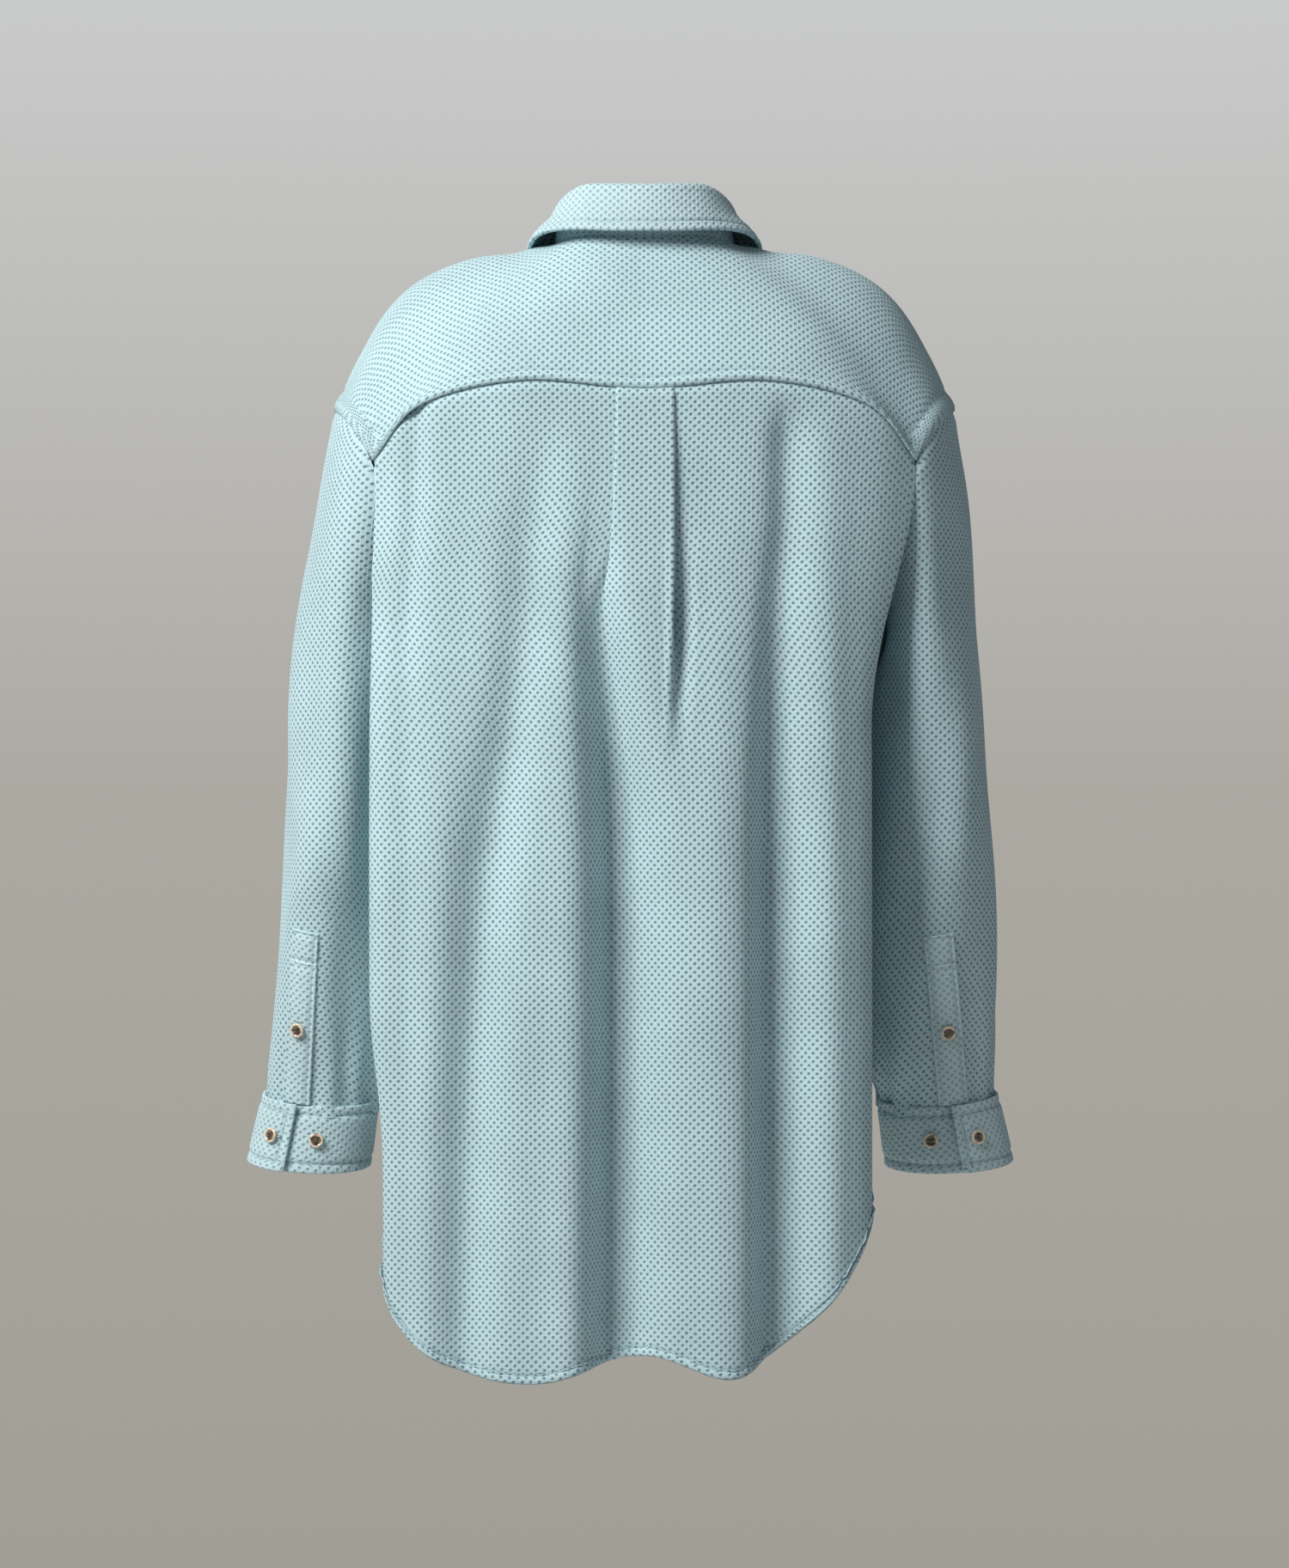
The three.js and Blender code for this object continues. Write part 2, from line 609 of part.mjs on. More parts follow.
const wrist = ARMHOLE_GAP;
for (const side of SIDES) {
  const sign = SIDE_SIGN[side];
  const whole = (u, v) => sleeveAt(side, 360 * u, v);
  const place = (u, v) => {
    const high = ARMHOLE_GAP / tangents(whole, u, 0).down.length();
    const low = 1 - wrist / tangents(whole, u, 1).down.length();
    return whole(u, mix(high, low, v));
  };
  const inward = vector(-sign, 0, 0);
  add(`sleeve_${side}`, tube(place, { around: 20, rows: 9, faces: inward }), clothMaterial());

  const cuffNames = ["outer", "interfacing", "inner"].map((layer) => `cuff_${side}_${layer}`);
  addStack(cuffNames, cuff(side), { columns: 22, rows: 1, faces: vector(-sign, 1.4, 0) });

  const upper = trimmed(sleeveStrip(side, TOWER.width, 0), { bottom: wrist });
  const upperOptions = { columns: 3, rows: 6, faces: BACKWARD, lift: 2 * CLOTH_WALL + LAYER_GAP };
  add(`sleeve_placket_${side}_upper`, sheet(upper, upperOptions), clothMaterial());
  const under = trimmed(sleeveStrip(side, TOWER.underWidth, 2), { bottom: wrist });
  const underOptions = { ...upperOptions, columns: 2, lift: -(2 * CLOTH_WALL + LAYER_GAP) };
  add(`sleeve_placket_${side}_under`, sheet(under, underOptions), facingMaterial());
}

// ---- Buttons ----

/** A sew-through button with a sunken middle, lying on the XY plane with its face up. */
function buttonGeometry() {
  const { radius, thickness, wellRadius, wellDepth, sides } = BUTTON;
  const profile = [
    [0, 0],
    [radius - 1.2, 0],
    [radius, 0.4 * thickness],
    [radius - 0.7, thickness],
    [wellRadius, thickness],
    [wellRadius - 0.6, thickness - wellDepth],
    [0, thickness - wellDepth],
  ].map(([x, y]) => new THREE.Vector2(x, y));
  return welded(new THREE.LatheGeometry(profile, sides).rotateX(Math.PI / 2));
}

/** The knot of sewing thread in the button's sunken middle. */
function threadGeometry() {
  const { radius, height, sides } = THREAD;
  const knot = new THREE.CylinderGeometry(radius, radius, height, sides);
  const seat = BUTTON.thickness - BUTTON.wellDepth + LAYER_GAP;
  return welded(knot.rotateX(Math.PI / 2).translate(0, 0, seat + height / 2));
}

/** Sets a button and its thread on a surface, at (u, v) and `lift` above it. */
function addButton(name, place, u, v, faces, lift) {
  const normal = normalOf(place, faces)(u, v);
  const spot = place(u, v).addScaledVector(normal, lift);
  const turn = new THREE.Quaternion().setFromUnitVectors(vector(0, 0, 1), normal);
  for (const [suffix, geometry, material] of [
    ["", buttonGeometry(), hornMaterial()],
    ["_thread", threadGeometry(), threadMaterial()],
  ]) {
    const mesh = add(`${name}${suffix}`, geometry, material);
    mesh.position.copy(spot);
    mesh.quaternion.copy(turn);
  }
}

const onStack = LAYER_STEP + CLOTH_WALL / 2 + LAYER_GAP;
const curveClearance = 0.8;

const standMiddle = (u, v) => stand(mix(0, 2 * (1 - 180 / STAND_END), u), v);
addButton("collar_button", standMiddle, 0.25, 0.5, FORWARD, onStack + curveClearance);

const bandLength = tangents(frontBand, 0.5, 0.5).down.length();
for (let k = 0; k < FRONT_BAND.buttons; k += 1) {
  const v = (FRONT_BAND.firstDrop + k * FRONT_BAND.pitch) / bandLength;
  addButton(`front_button_${k + 1}`, frontBand, 0.5, v, FORWARD, onStack + curveClearance);
}

for (const side of SIDES) {
  const place = cuff(side);
  const faces = vector(-SIDE_SIGN[side], 1.4, 0);
  const last = SLEEVES[side][2];
  const circuit = Math.PI * ((last.outer - last.inner) / 2 + last.halfDepth);
  const fromEdge = -CUFF_BUTTON.fromEdge / circuit;
  const pitch = CUFF_BUTTON.pitch / circuit;
  const lift = onStack + curveClearance;
  addButton(`cuff_button_${side}_outer`, place, fromEdge, 0.5, faces, lift);
  const whole = 360 / (360 + CUFF.overlap);
  addButton(`cuff_button_${side}_inner`, place, whole + fromEdge - pitch, 0.5, faces, lift);

  const strip = sleeveStrip(side, TOWER.width, 0);
  const above = 2.5 * CLOTH_WALL + 2 * LAYER_GAP + curveClearance;
  addButton(`placket_button_${side}`, strip, 0.5, TOWER.buttonShare, BACKWARD, above);
}

export default shirt;
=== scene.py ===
"""An oversized shirt gown of honeycomb cotton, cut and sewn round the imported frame.

The pattern's surfaces are worked out in millimetres and every mesh is made in metres, in the
frame's own axes: +Z is up, the wearer faces +Y, and +X is the wearer's right.
"""

import logging
import math
from dataclasses import dataclass, field
from enum import Enum
from typing import Callable, Iterable, Sequence

import bmesh
import bpy
import numpy as np
from mathutils import Matrix, Vector


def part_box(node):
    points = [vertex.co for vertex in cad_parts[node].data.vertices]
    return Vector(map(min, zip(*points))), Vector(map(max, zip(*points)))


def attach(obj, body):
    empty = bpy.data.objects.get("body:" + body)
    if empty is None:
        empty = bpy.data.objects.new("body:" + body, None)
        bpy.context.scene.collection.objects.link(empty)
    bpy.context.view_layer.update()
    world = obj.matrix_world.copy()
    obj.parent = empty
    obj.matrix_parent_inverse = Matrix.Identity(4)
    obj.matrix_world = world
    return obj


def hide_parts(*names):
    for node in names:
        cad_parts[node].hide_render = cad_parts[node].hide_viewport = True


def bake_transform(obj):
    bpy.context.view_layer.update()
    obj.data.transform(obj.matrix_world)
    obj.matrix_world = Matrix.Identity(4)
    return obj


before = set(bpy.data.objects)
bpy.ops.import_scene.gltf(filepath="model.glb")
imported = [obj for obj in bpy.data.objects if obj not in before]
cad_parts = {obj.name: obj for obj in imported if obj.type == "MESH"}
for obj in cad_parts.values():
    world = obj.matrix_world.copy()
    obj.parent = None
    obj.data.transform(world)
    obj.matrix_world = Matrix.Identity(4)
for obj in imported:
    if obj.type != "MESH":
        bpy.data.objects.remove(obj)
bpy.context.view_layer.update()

METRES = 0.001
LOG = logging.getLogger("shirt_gown")

Array = np.ndarray
Surface = Callable[[Array, Array], Array]
Profile = Sequence[tuple[float, float]]
Colour = tuple[float, float, float]
Run = tuple[Array, Array]


class Side(Enum):
    """The two sides of the shirt, as the wearer's back shows them."""

    LEFT = "left"
    RIGHT = "right"

    @property
    def sign(self) -> int:
        """-1 on the left and 1 on the right."""
        return -1 if self is Side.LEFT else 1


class Edge(Enum):
    """The four edges of a laid sheet."""

    TOP = "top"
    BOTTOM = "bottom"
    START = "start"
    END = "end"


class Hold(Enum):
    """How a cloth is held up."""

    HUNG = "hung"
    DRAPED = "draped"
    FOLDED = "folded"
    STRETCHED = "stretched"
    LAID = "laid"


class Body(Enum):
    """The frame's bodies."""

    TORSO = "torso"
    SLEEVE_LEFT = "sleeve_left"
    SLEEVE_RIGHT = "sleeve_right"

    @classmethod
    def sleeve(cls, side: Side) -> "Body":
        """The body of one sleeve."""
        return cls.SLEEVE_LEFT if side is Side.LEFT else cls.SLEEVE_RIGHT


class Slot(Enum):
    """The record's material slots."""

    CLOTH = "honeycomb_cotton"
    FACING = "cloth_facing"
    HORN = "horn_buttons"
    THREAD = "sewing_thread"
    SATIN = "label_satin"


# ---- Small sums ----


def mix(start, end, share):
    """A value part of the way from start to end."""
    return start + (end - start) * share


def smooth(share: Array) -> Array:
    """A step from 0 to 1 with soft ends."""
    held = np.clip(share, 0.0, 1.0)
    return held * held * (3.0 - 2.0 * held)


def bell(distance: Array, width: Array | float) -> Array:
    """A soft bump, 1 in its middle, with the given half width."""
    return np.exp(-((distance / width) ** 2))


def unit(vectors: Array) -> Array:
    """The vectors, each made one long."""
    return vectors / np.maximum(np.linalg.norm(vectors, axis=-1, keepdims=True), 1e-9)


def through(heights: Sequence[float], values: Sequence[float], z: Array) -> Array:
    """A value that changes down the body, given at some heights from the top down."""
    return np.interp(-z, [-height for height in heights], values)


def spline(points: Array, share: Array) -> Array:
    """A smooth curve through the points.

    Args:
        points: The points, or for each place asked its own row of points.
        share: How far along the curve, from 0 to 1.

    Returns:
        The places on the curve.
    """
    padded = np.concatenate([2 * points[:1] - points[1:2], points, 2 * points[-1:] - points[-2:-1]])
    at = np.clip(share, 0.0, 1.0) * (len(points) - 1)
    first = np.minimum(at.astype(int), len(points) - 2)
    t = (at - first)[..., None]
    own = (np.arange(len(first)),) if padded.ndim == 3 else ()
    a, b, c, d = (padded[(first + k, *own)] for k in range(4))
    rate_in, rate_out = (c - a) / 2, (d - b) / 2
    square = 3 * (c - b) - 2 * rate_in - rate_out
    cube = 2 * (b - c) + rate_in + rate_out
    return b + t * (rate_in + t * (square + t * cube))


def stacked(*parts: Array) -> Array:
    """Joins x, y and z into points."""
    return np.stack(np.broadcast_arrays(*parts), axis=-1)


# ---- The pattern: where each cloth lies ----


@dataclass(frozen=True)
class Neck:
    """The neck seam's sizes."""

    half_width: float = 66.0
    half_depth: float = 56.0
    centre_y: float = -6.0
    front_drop: float = 70.0
    side_rise: float = 23.0

    def ring(self, degrees: Array) -> Array:
        """The neck seam, from 0 at the nape towards the wearer's right."""
        sine, cosine = np.sin(np.radians(degrees)), np.cos(np.radians(degrees))
        return stacked(
            self.half_width * sine,
            self.centre_y - self.half_depth * cosine,
            self.side_rise * sine**2 - self.front_drop * (1 - cosine) / 2,
        )


@dataclass(frozen=True)
class Armhole:
    """The armhole seam's sizes."""

    centre_x: float = 207.0
    centre_y: float = 4.0
    centre_z: float = -208.0
    half_height: float = 82.0
    half_depth: float = 70.0
    lean: float = 25.0
    bow: float = 24.0
    crown: float = 0.57
    sleeve_ease: float = 12.0

    def ring(self, sign: Array | int, degrees: Array) -> Array:
        """The seam from 0 at the shoulder tip, through 90 at the back, to 180 at the underarm."""
        sine, cosine = np.sin(np.radians(degrees)), np.cos(np.radians(degrees))
        reach = self.centre_x + self.lean * cosine - self.bow * np.abs(sine) ** 1.5
        return stacked(
            sign * reach,
            self.centre_y - self.half_depth * sine * (1 + self.crown * cosine),
            self.centre_z + self.half_height * cosine,
        )


@dataclass(frozen=True)
class SleeveRing:
    """One level ring of a sleeve."""

    outer: float
    inner: float
    centre_y: float
    half_depth: float
    z: float
    rise: float
    back_drop: float

    def at(self, sign: int, degrees: Array, lower: Array | float = 0.0,
           out: Array | float = 0.0, swing: Array | float = 0.0) -> Array:
        """A point of the ring.

        Args:
            sign: The side's sign.
            degrees: The angle from the outer side towards the back.
            lower: How far the ring is moved down.
            out: How far it grows.
            swing: How far its outer side swings out beyond that.

        Returns:
            The points.
        """
        sine, cosine = np.sin(np.radians(degrees)), np.cos(np.radians(degrees))
        outer, inner = self.outer + out + 2 * swing, self.inner - out + swing
        return stacked(
            sign * ((outer + inner) / 2 + (outer - inner) / 2 * cosine),
            self.centre_y - (self.half_depth + out) * sine,
            self.z - lower + self.rise * cosine - self.back_drop * sine,
        )


@dataclass(frozen=True)
class Pattern:
    """Every seam line and surface of the shirt, in millimetres."""

    neck: Neck = Neck()
    arm: Armhole = Armhole()
    yoke_back: float = 60.0
    yoke_front: float = -35.0
    yoke_z: float = -116.0
    yoke_rise: float = 6.0
    yoke_y: float = -113.0
    yoke_bulge: float = 262.0
    yoke_arm: float = 0.25
    yoke_neck: tuple[float, float] = (118.0, 60.0)
    wing: tuple[float, float] = (201.0, 166.0)
    seam: tuple[float, float] = (168.0, 155.0)
    side_y: float = 4.0
    back_depth: float = 118.0
    front_depth: float = 105.0
    chest_width: float = 186.0
    chest_depth: float = 94.0
    back_hem: tuple[float, ...] = (
        -625, -700, -768, -826, -846, -826, -841, -792, -735, -690, -625,
    )
    front_hem: tuple[float, ...] = (-676, -690, -692, -688, -666, -625)
    back_reach: tuple[float, float] = (0.4, 0.15)
    front_reach: tuple[float, float] = (0.5, 0.15)
    front_falls: tuple[float, float, float] = (120.0, 30.0, 60.0)
    back_arm: float = 0.2
    front_neck: float = 0.2
    front_arm: float = 0.6
    band_half: float = 17.0
    stand_height: float = 36.0
    stand_lean: float = 2.0
    stand_overlap: float = 12.0
    stack_wall: float = 3.2
    layer_gap: float = 0.35
    leaf_roll: float = 4.7
    leaf_end: float = 163.0
    leaf_edge: float = 6.0
    leaf_side: tuple[float, float] = (3.0, 4.0)
    leaf_point: tuple[float, float, float] = (37.0, 6.0, 122.0)
    leaf_spread: float = 14.0
    cuff_height: float = 50.0
    cuff_flare: float = 6.0
    cuff_overlap: float = 26.0

    def across(self, side: Side, pair: tuple[float, float]) -> float:
        """The left or the right one of a pair of sizes."""
        return pair[0] if side is Side.LEFT else pair[1]

    def back_seam(self, share: Array) -> Array:
        """The seam between the yoke and the back, from left to right."""
        ends = [self.arm.ring(sign, np.array([self.yoke_back]))[0] for sign in (-1, 1)]
        y, z, rise = self.yoke_y, self.yoke_z, self.yoke_rise
        middle = [
            (-165, y + 18, z - 2 * rise), (-90, y + 4, z + rise), (0, y, z),
            (90, y + 4, z + rise), (165, y + 18, z - 2 * rise),
        ]
        return spline(np.array([ends[0], *middle, ends[1]], float), share)

    def _back_half(self, side: Side, heights: Sequence[float]) -> list[tuple[float, ...]]:
        """Points of the back hem from one side seam to the middle."""
        seam, wing = self.across(side, self.seam), self.across(side, self.wing)
        depth = self.back_depth
        plan = [
            (seam, self.side_y), ((seam + wing) / 2, -0.42 * depth), (wing, -0.71 * depth),
            (0.8 * wing, -0.88 * depth), (0.42 * wing, -0.98 * depth), (0, -depth),
        ]
        return [(side.sign * x, y, z) for (x, y), z in zip(plan, heights)]

    def back_edge(self, share: Array) -> Array:
        """The back hem's line from the left side seam to the right one."""
        left = self._back_half(Side.LEFT, self.back_hem[:6])
        right = self._back_half(Side.RIGHT, self.back_hem[:4:-1])[::-1]
        return spline(np.array(left + right[1:], float), share)

    def back_top(self, u: Array) -> Array:
        """The back's upper edge: underarm, armhole, yoke seam, armhole, underarm."""
        from_middle = np.abs(u - 0.5)
        share = (0.5 - from_middle) / self.back_arm
        armhole = self.arm.ring(np.where(u < 0.5, -1, 1), mix(180.0, self.yoke_back, share))
        seam = self.back_seam((u - self.back_arm) / (1 - 2 * self.back_arm))
        return np.where((from_middle < 0.5 - self.back_arm)[..., None], seam, armhole)

    def back(self, u: Array, v: Array) -> Array:
        """The back, u from left to right and v down."""
        top, hem = self.back_top(u), self.back_edge(u)
        reach = self.back_reach[0] - self.back_reach[1] * (2 * u - 1) ** 2
        out = smooth(v / reach)
        return stacked(
            mix(top[..., 0], hem[..., 0], out),
            mix(top[..., 1], hem[..., 1], out),
            mix(top[..., 2], hem[..., 2], v),
        )

    def yoke(self, u: Array, v: Array) -> Array:
        """The yoke, u from the left front round the back to the right, v from the neck out."""
        sign = np.where(u < 0.5, -1, 1)
        from_end = 0.5 - np.abs(u - 0.5)
        share = np.clip(from_end / self.yoke_arm, 0, 1)
        in_arm = from_end < self.yoke_arm
        along = np.clip((u - self.yoke_arm) / (1 - 2 * self.yoke_arm), 0, 1)
        front, back = self.yoke_neck
        side_angle = sign * mix(front, back, share)
        neck_angle = np.where(in_arm, side_angle, mix(-back, back, along))
        armhole = self.arm.ring(sign, mix(self.yoke_front, self.yoke_back, share))
        edge = np.where(in_arm[..., None], armhole, self.back_seam(along))
        crest = -self.yoke_front / (self.yoke_back - self.yoke_front) * self.yoke_arm
        weight = 0.12 + 0.88 * bell(from_end - crest, 0.2)
        rise = self.yoke_bulge * weight * np.clip(v, 0, 1) ** 1.4 * (1 - v)
        spot = mix(self.neck.ring(neck_angle), edge, v[..., None])
        return spot + stacked(0 * rise, -0.5 * rise * (1 - weight), rise)

    def _front_edge(self, side: Side, u: Array) -> Array:
        """The front hem's line from the button front to the side seam."""
        seam, depth = self.across(side, self.seam), self.front_depth
        plan = [
            (self.band_half, depth), (0.4 * seam, 0.99 * depth), (0.7 * seam, 0.93 * depth),
            (seam + 8, 0.7 * depth), (seam + 4, 0.35 * depth), (seam, self.side_y),
        ]
        points = [(side.sign * x, y, z) for (x, y), z in zip(plan, self.front_hem)]
        return spline(np.array(points, float), u)

    def _front_chest(self, side: Side, u: Array) -> Array:
        """The front's plan at the chest."""
        underarm = self.arm.ring(1, np.array([180.0]))[0, 0]
        width, depth = self.chest_width, self.chest_depth
        plan = [
            (self.band_half, 0.9 * depth), (0.33 * width, 0.94 * depth), (0.63 * width, depth),
            (width, 0.9 * depth), (0.96 * underarm, 0.5 * depth), (underarm, self.side_y),
        ]
        return spline(np.array([(side.sign * x, y, 0) for x, y in plan], float), u)

    def _front_top(self, side: Side, u: Array) -> Array:
        """The front's upper edge: neck seam, yoke seam, armhole."""
        start = 180 - math.degrees(math.asin(self.band_half / self.neck.half_width))
        neck_share = np.clip(u / self.front_neck, 0, 1)
        neck = self.neck.ring(side.sign * mix(start, self.yoke_neck[0], neck_share))
        along = np.clip((u - self.front_neck) / (self.front_arm - self.front_neck), 0, 1)
        seam = self.yoke(np.full_like(u, 0.0 if side is Side.LEFT else 1.0), along)
        arm_share = np.clip((u - self.front_arm) / (1 - self.front_arm), 0, 1)
        armhole = self.arm.ring(side.sign, mix(self.yoke_front, -180.0, arm_share))
        shoulder = np.where((u < self.front_arm)[..., None], seam, armhole)
        return np.where((u < self.front_neck)[..., None], neck, shoulder)

    def front(self, side: Side) -> Surface:
        """One front, u from the button front to the side seam and v down."""

        def place(u: Array, v: Array) -> Array:
            """A point of the front."""
            top, hem = self._front_top(side, u), self._front_edge(side, u)
            chest = self._front_chest(side, u)
            middle_fall, fold_fall, side_fall = self.front_falls
            near = mix(fold_fall, middle_fall, smooth((self.front_arm - u) / 0.25))
            settle = mix(near, side_fall, smooth((u - self.front_arm - 0.1) / 0.2))
            settled = smooth(v * (top[..., 2] - hem[..., 2]) / settle)
            out = smooth(v / (self.front_reach[0] - self.front_reach[1] * u * u))
            x = mix(mix(top[..., 0], chest[..., 0], settled), hem[..., 0], out)
            y = mix(mix(top[..., 1], chest[..., 1], settled), hem[..., 1], out)
            return stacked(x, y, mix(top[..., 2], hem[..., 2], v))

        return place

    def band(self, u: Array, v: Array) -> Array:
        """The button front's band."""
        edge = self.front(Side.RIGHT)(np.zeros_like(u), v)
        return stacked(mix(-1, 1, u) * self.band_half, edge[..., 1], edge[..., 2])

    @property
    def stand_end(self) -> float:
        """The angle at which the stand ends."""
        return 180 + math.degrees(self.stand_overlap / self.neck.half_width)

    def _stand_step(self, degrees: Array) -> Array:
        """How far the stand's left end is lifted over its right end."""
        return (self.stack_wall + 3 * self.layer_gap) * smooth((-degrees - 120) / 50)

    @staticmethod
    def _from_neck(degrees: Array) -> Array:
        """The direction straight out from the neck."""
        return stacked(np.sin(np.radians(degrees)), -np.cos(np.radians(degrees)), 0 * degrees)

    def stand(self, u: Array, v: Array) -> Array:
        """The collar stand, u from its left end round the nape, v down."""
        degrees = mix(-self.stand_end, self.stand_end, u)
        up = mix(self.stand_height, 1.6, v)
        out = self._stand_step(degrees) - self.stand_lean * up / self.stand_height
        lift = stacked(0 * up, 0 * up, up)
        return self.neck.ring(degrees) + self._from_neck(degrees) * out[..., None] + lift

    def leaf(self, u: Array, v: Array) -> Array:
        """The collar leaf: it rolls over the stand, then falls to its edge."""
        degrees = mix(-self.leaf_end, self.leaf_end, u)
        sine = np.sin(np.radians(degrees))
        point_drop, point_spread, point_from = self.leaf_point
        front = smooth((np.abs(degrees) - point_from) / (self.leaf_end - point_from))
        fallen = self.stand_height - self.leaf_edge
        drop = fallen + self.leaf_side[0] * sine**2 + point_drop * front
        spread = self.leaf_spread + self.leaf_side[1] * sine**2 + point_spread * front
        roll = math.pi * (1 - np.clip(2 * v, 0, 1))
        fall = np.clip(2 * v - 1, 0, 1)
        step = self._stand_step(degrees)
        radius = self.leaf_roll + step / 2
        out = mix(radius * np.cos(roll), spread + radius, fall) + step / 2 - self.stand_lean
        up = self.stand_height + radius * np.sin(roll) - drop * fall
        foot = self.neck.ring(degrees) + stacked(0 * up, 0 * up, up)
        return foot + self._from_neck(degrees) * out[..., None]


@dataclass(frozen=True)
class SleeveCut:
    """One sleeve's rings, cuff and slit."""

    side: Side
    rings: tuple[SleeveRing, ...]
    cuff_edge: float
    tower_top: float
    tower_bottom: float
    tower_width: float = 22.0
    tower_length: float = 134.0

    @property
    def sign(self) -> int:
        """The side's sign."""
        return self.side.sign

    def at(self, pattern: Pattern, degrees: Array, v: Array) -> Array:
        """The sleeve's surface at an angle, v from the armhole to the cuff."""
        ease = pattern.arm.sleeve_ease * (1 - np.cos(np.radians(degrees))) / 2
        first = pattern.arm.ring(self.sign, degrees) + stacked(self.sign * ease, 0 * ease, 0 * ease)
        points = np.stack([first, *[ring.at(self.sign, degrees) for ring in self.rings]])
        return spline(points, v)

    def cuff(self, pattern: Pattern) -> Surface:
        """The cuff, u from the overlap's edge round the arm to the underlap's end."""

        def place(u: Array, v: Array) -> Array:
            """A point of the cuff."""
            degrees = self.cuff_edge - u * (360 + pattern.cuff_overlap)
            step = (pattern.stack_wall + 5 * pattern.layer_gap) * (1 - smooth(u / 0.4))
            lower = 1.2 + pattern.cuff_height * v
            return self.rings[-1].at(self.sign, degrees, lower, step, pattern.cuff_flare * v)

        return place

    def strip(self, pattern: Pattern, width: float, shift: float = 0.0) -> Surface:
        """A strip along the sleeve's slit."""
        ends = self.at(pattern, np.array([90.0, 90.0]), np.array([0.869, 0.871]))
        length = float(np.linalg.norm(ends[1] - ends[0])) / 0.002

        def place(u: Array, v: Array) -> Array:
            """A point of the strip."""
            along = mix(1 - self.tower_length / length, 1.0, v)
            middle = mix(self.tower_top, self.tower_bottom, v)
            near = self.at(pattern, middle + 1, along) - self.at(pattern, middle, along)
            rate = np.linalg.norm(near, axis=-1)
            return self.at(pattern, middle + (shift + (u - 0.5) * width) / rate, along)

        return place


PATTERN = Pattern()
SLEEVES = (
    SleeveCut(
        side=Side.LEFT,
        rings=(
            SleeveRing(261, 186, 12, 66, -330, 18, 0),
            SleeveRing(272, 196, 20, 58, -475, 8, 2),
            SleeveRing(284, 202, 38, 34, -641, 2, 7),
        ),
        cuff_edge=67.0, tower_top=66.0, tower_bottom=63.0,
    ),
    SleeveCut(
        side=Side.RIGHT,
        rings=(
            SleeveRing(252, 178, 12, 66, -330, 18, 0),
            SleeveRing(262, 178, 20, 58, -475, 8, 2),
            SleeveRing(263, 177, 38, 34, -641, 2, 7),
        ),
        cuff_edge=78.0, tower_top=92.0, tower_bottom=74.0,
    ),
)


# ---- Laying and finishing a sheet of cloth ----


def even(count: int) -> Array:
    """Shares from 0 to 1 in even steps."""
    return np.linspace(0.0, 1.0, count + 1)


def laid(surface: Surface, us: Array, vs: Array) -> Array:
    """The surface's points on a grid, one row for each v."""
    u, v = np.meshgrid(us, vs)
    return surface(u.ravel(), v.ravel()).reshape(*u.shape, 3)


def normals_of(points: Array, faces: Sequence[float], closed: bool = False) -> Array:
    """The unit normals of a grid of points.

    Args:
        points: The grid.
        faces: The side that the middle's normal points to.
        closed: Whether the last column lies on the first one.

    Returns:
        A normal for each point.
    """
    across, down = np.gradient(points, axis=1), np.gradient(points, axis=0)
    if closed:
        wrap = points[:, 1] - points[:, -2]
        across[:, 0] = across[:, -1] = wrap / 2
    normals = unit(np.cross(across, down))
    rows, columns = points.shape[:2]
    middle = normals[rows // 2, columns // 2]
    return normals * (1.0 if float(np.dot(middle, faces)) > 0 else -1.0)


def facing_last(points: Array, edge: Edge) -> Array:
    """Turns a grid so that the edge becomes its last row; turning twice gives it back."""
    if edge in (Edge.START, Edge.END):
        points = np.swapaxes(points, 0, 1)
    return points


def turned(points: Array, faces: Sequence[float], edges: Iterable[Edge], radius: float,
           depth: float, steps: int = 4) -> Array:
    """Turns a sheet's edges under, as a rolled edge.

    Args:
        points: The grid.
        faces: The side that the cloth faces.
        edges: The edges to turn.
        radius: Half the roll's thickness, in millimetres.
        depth: How far the turned cloth runs back under.
        steps: Rows in the roll.

    Returns:
        The larger grid.
    """
    for edge in edges:
        grid = facing_last(points, edge)
        flipped = edge in (Edge.TOP, Edge.START)
        grid = grid[::-1] if flipped else grid
        normals = facing_last(normals_of(points, faces), edge)
        normals = normals[::-1] if flipped else normals
        normal, last = normals[-1], grid[-1]
        down = unit(grid[-1] - grid[-2])
        room = np.linalg.norm(grid[-1] - grid[-2], axis=-1, keepdims=True)
        base = last - down * np.minimum(radius, 0.8 * room)
        rows = [base]
        centre = base - normal * radius
        for angle in np.linspace(0, math.pi, steps + 1)[1:]:
            rows.append(centre + radius * (normal * math.cos(angle) + down * math.sin(angle)))
        for back in (0.5, 1.0):
            rows.append(rows[steps] - down * depth * back)
        grid = np.concatenate([grid[:-1], np.stack(rows)])
        grid = grid[::-1] if flipped else grid
        points = facing_last(grid, edge)
    return points


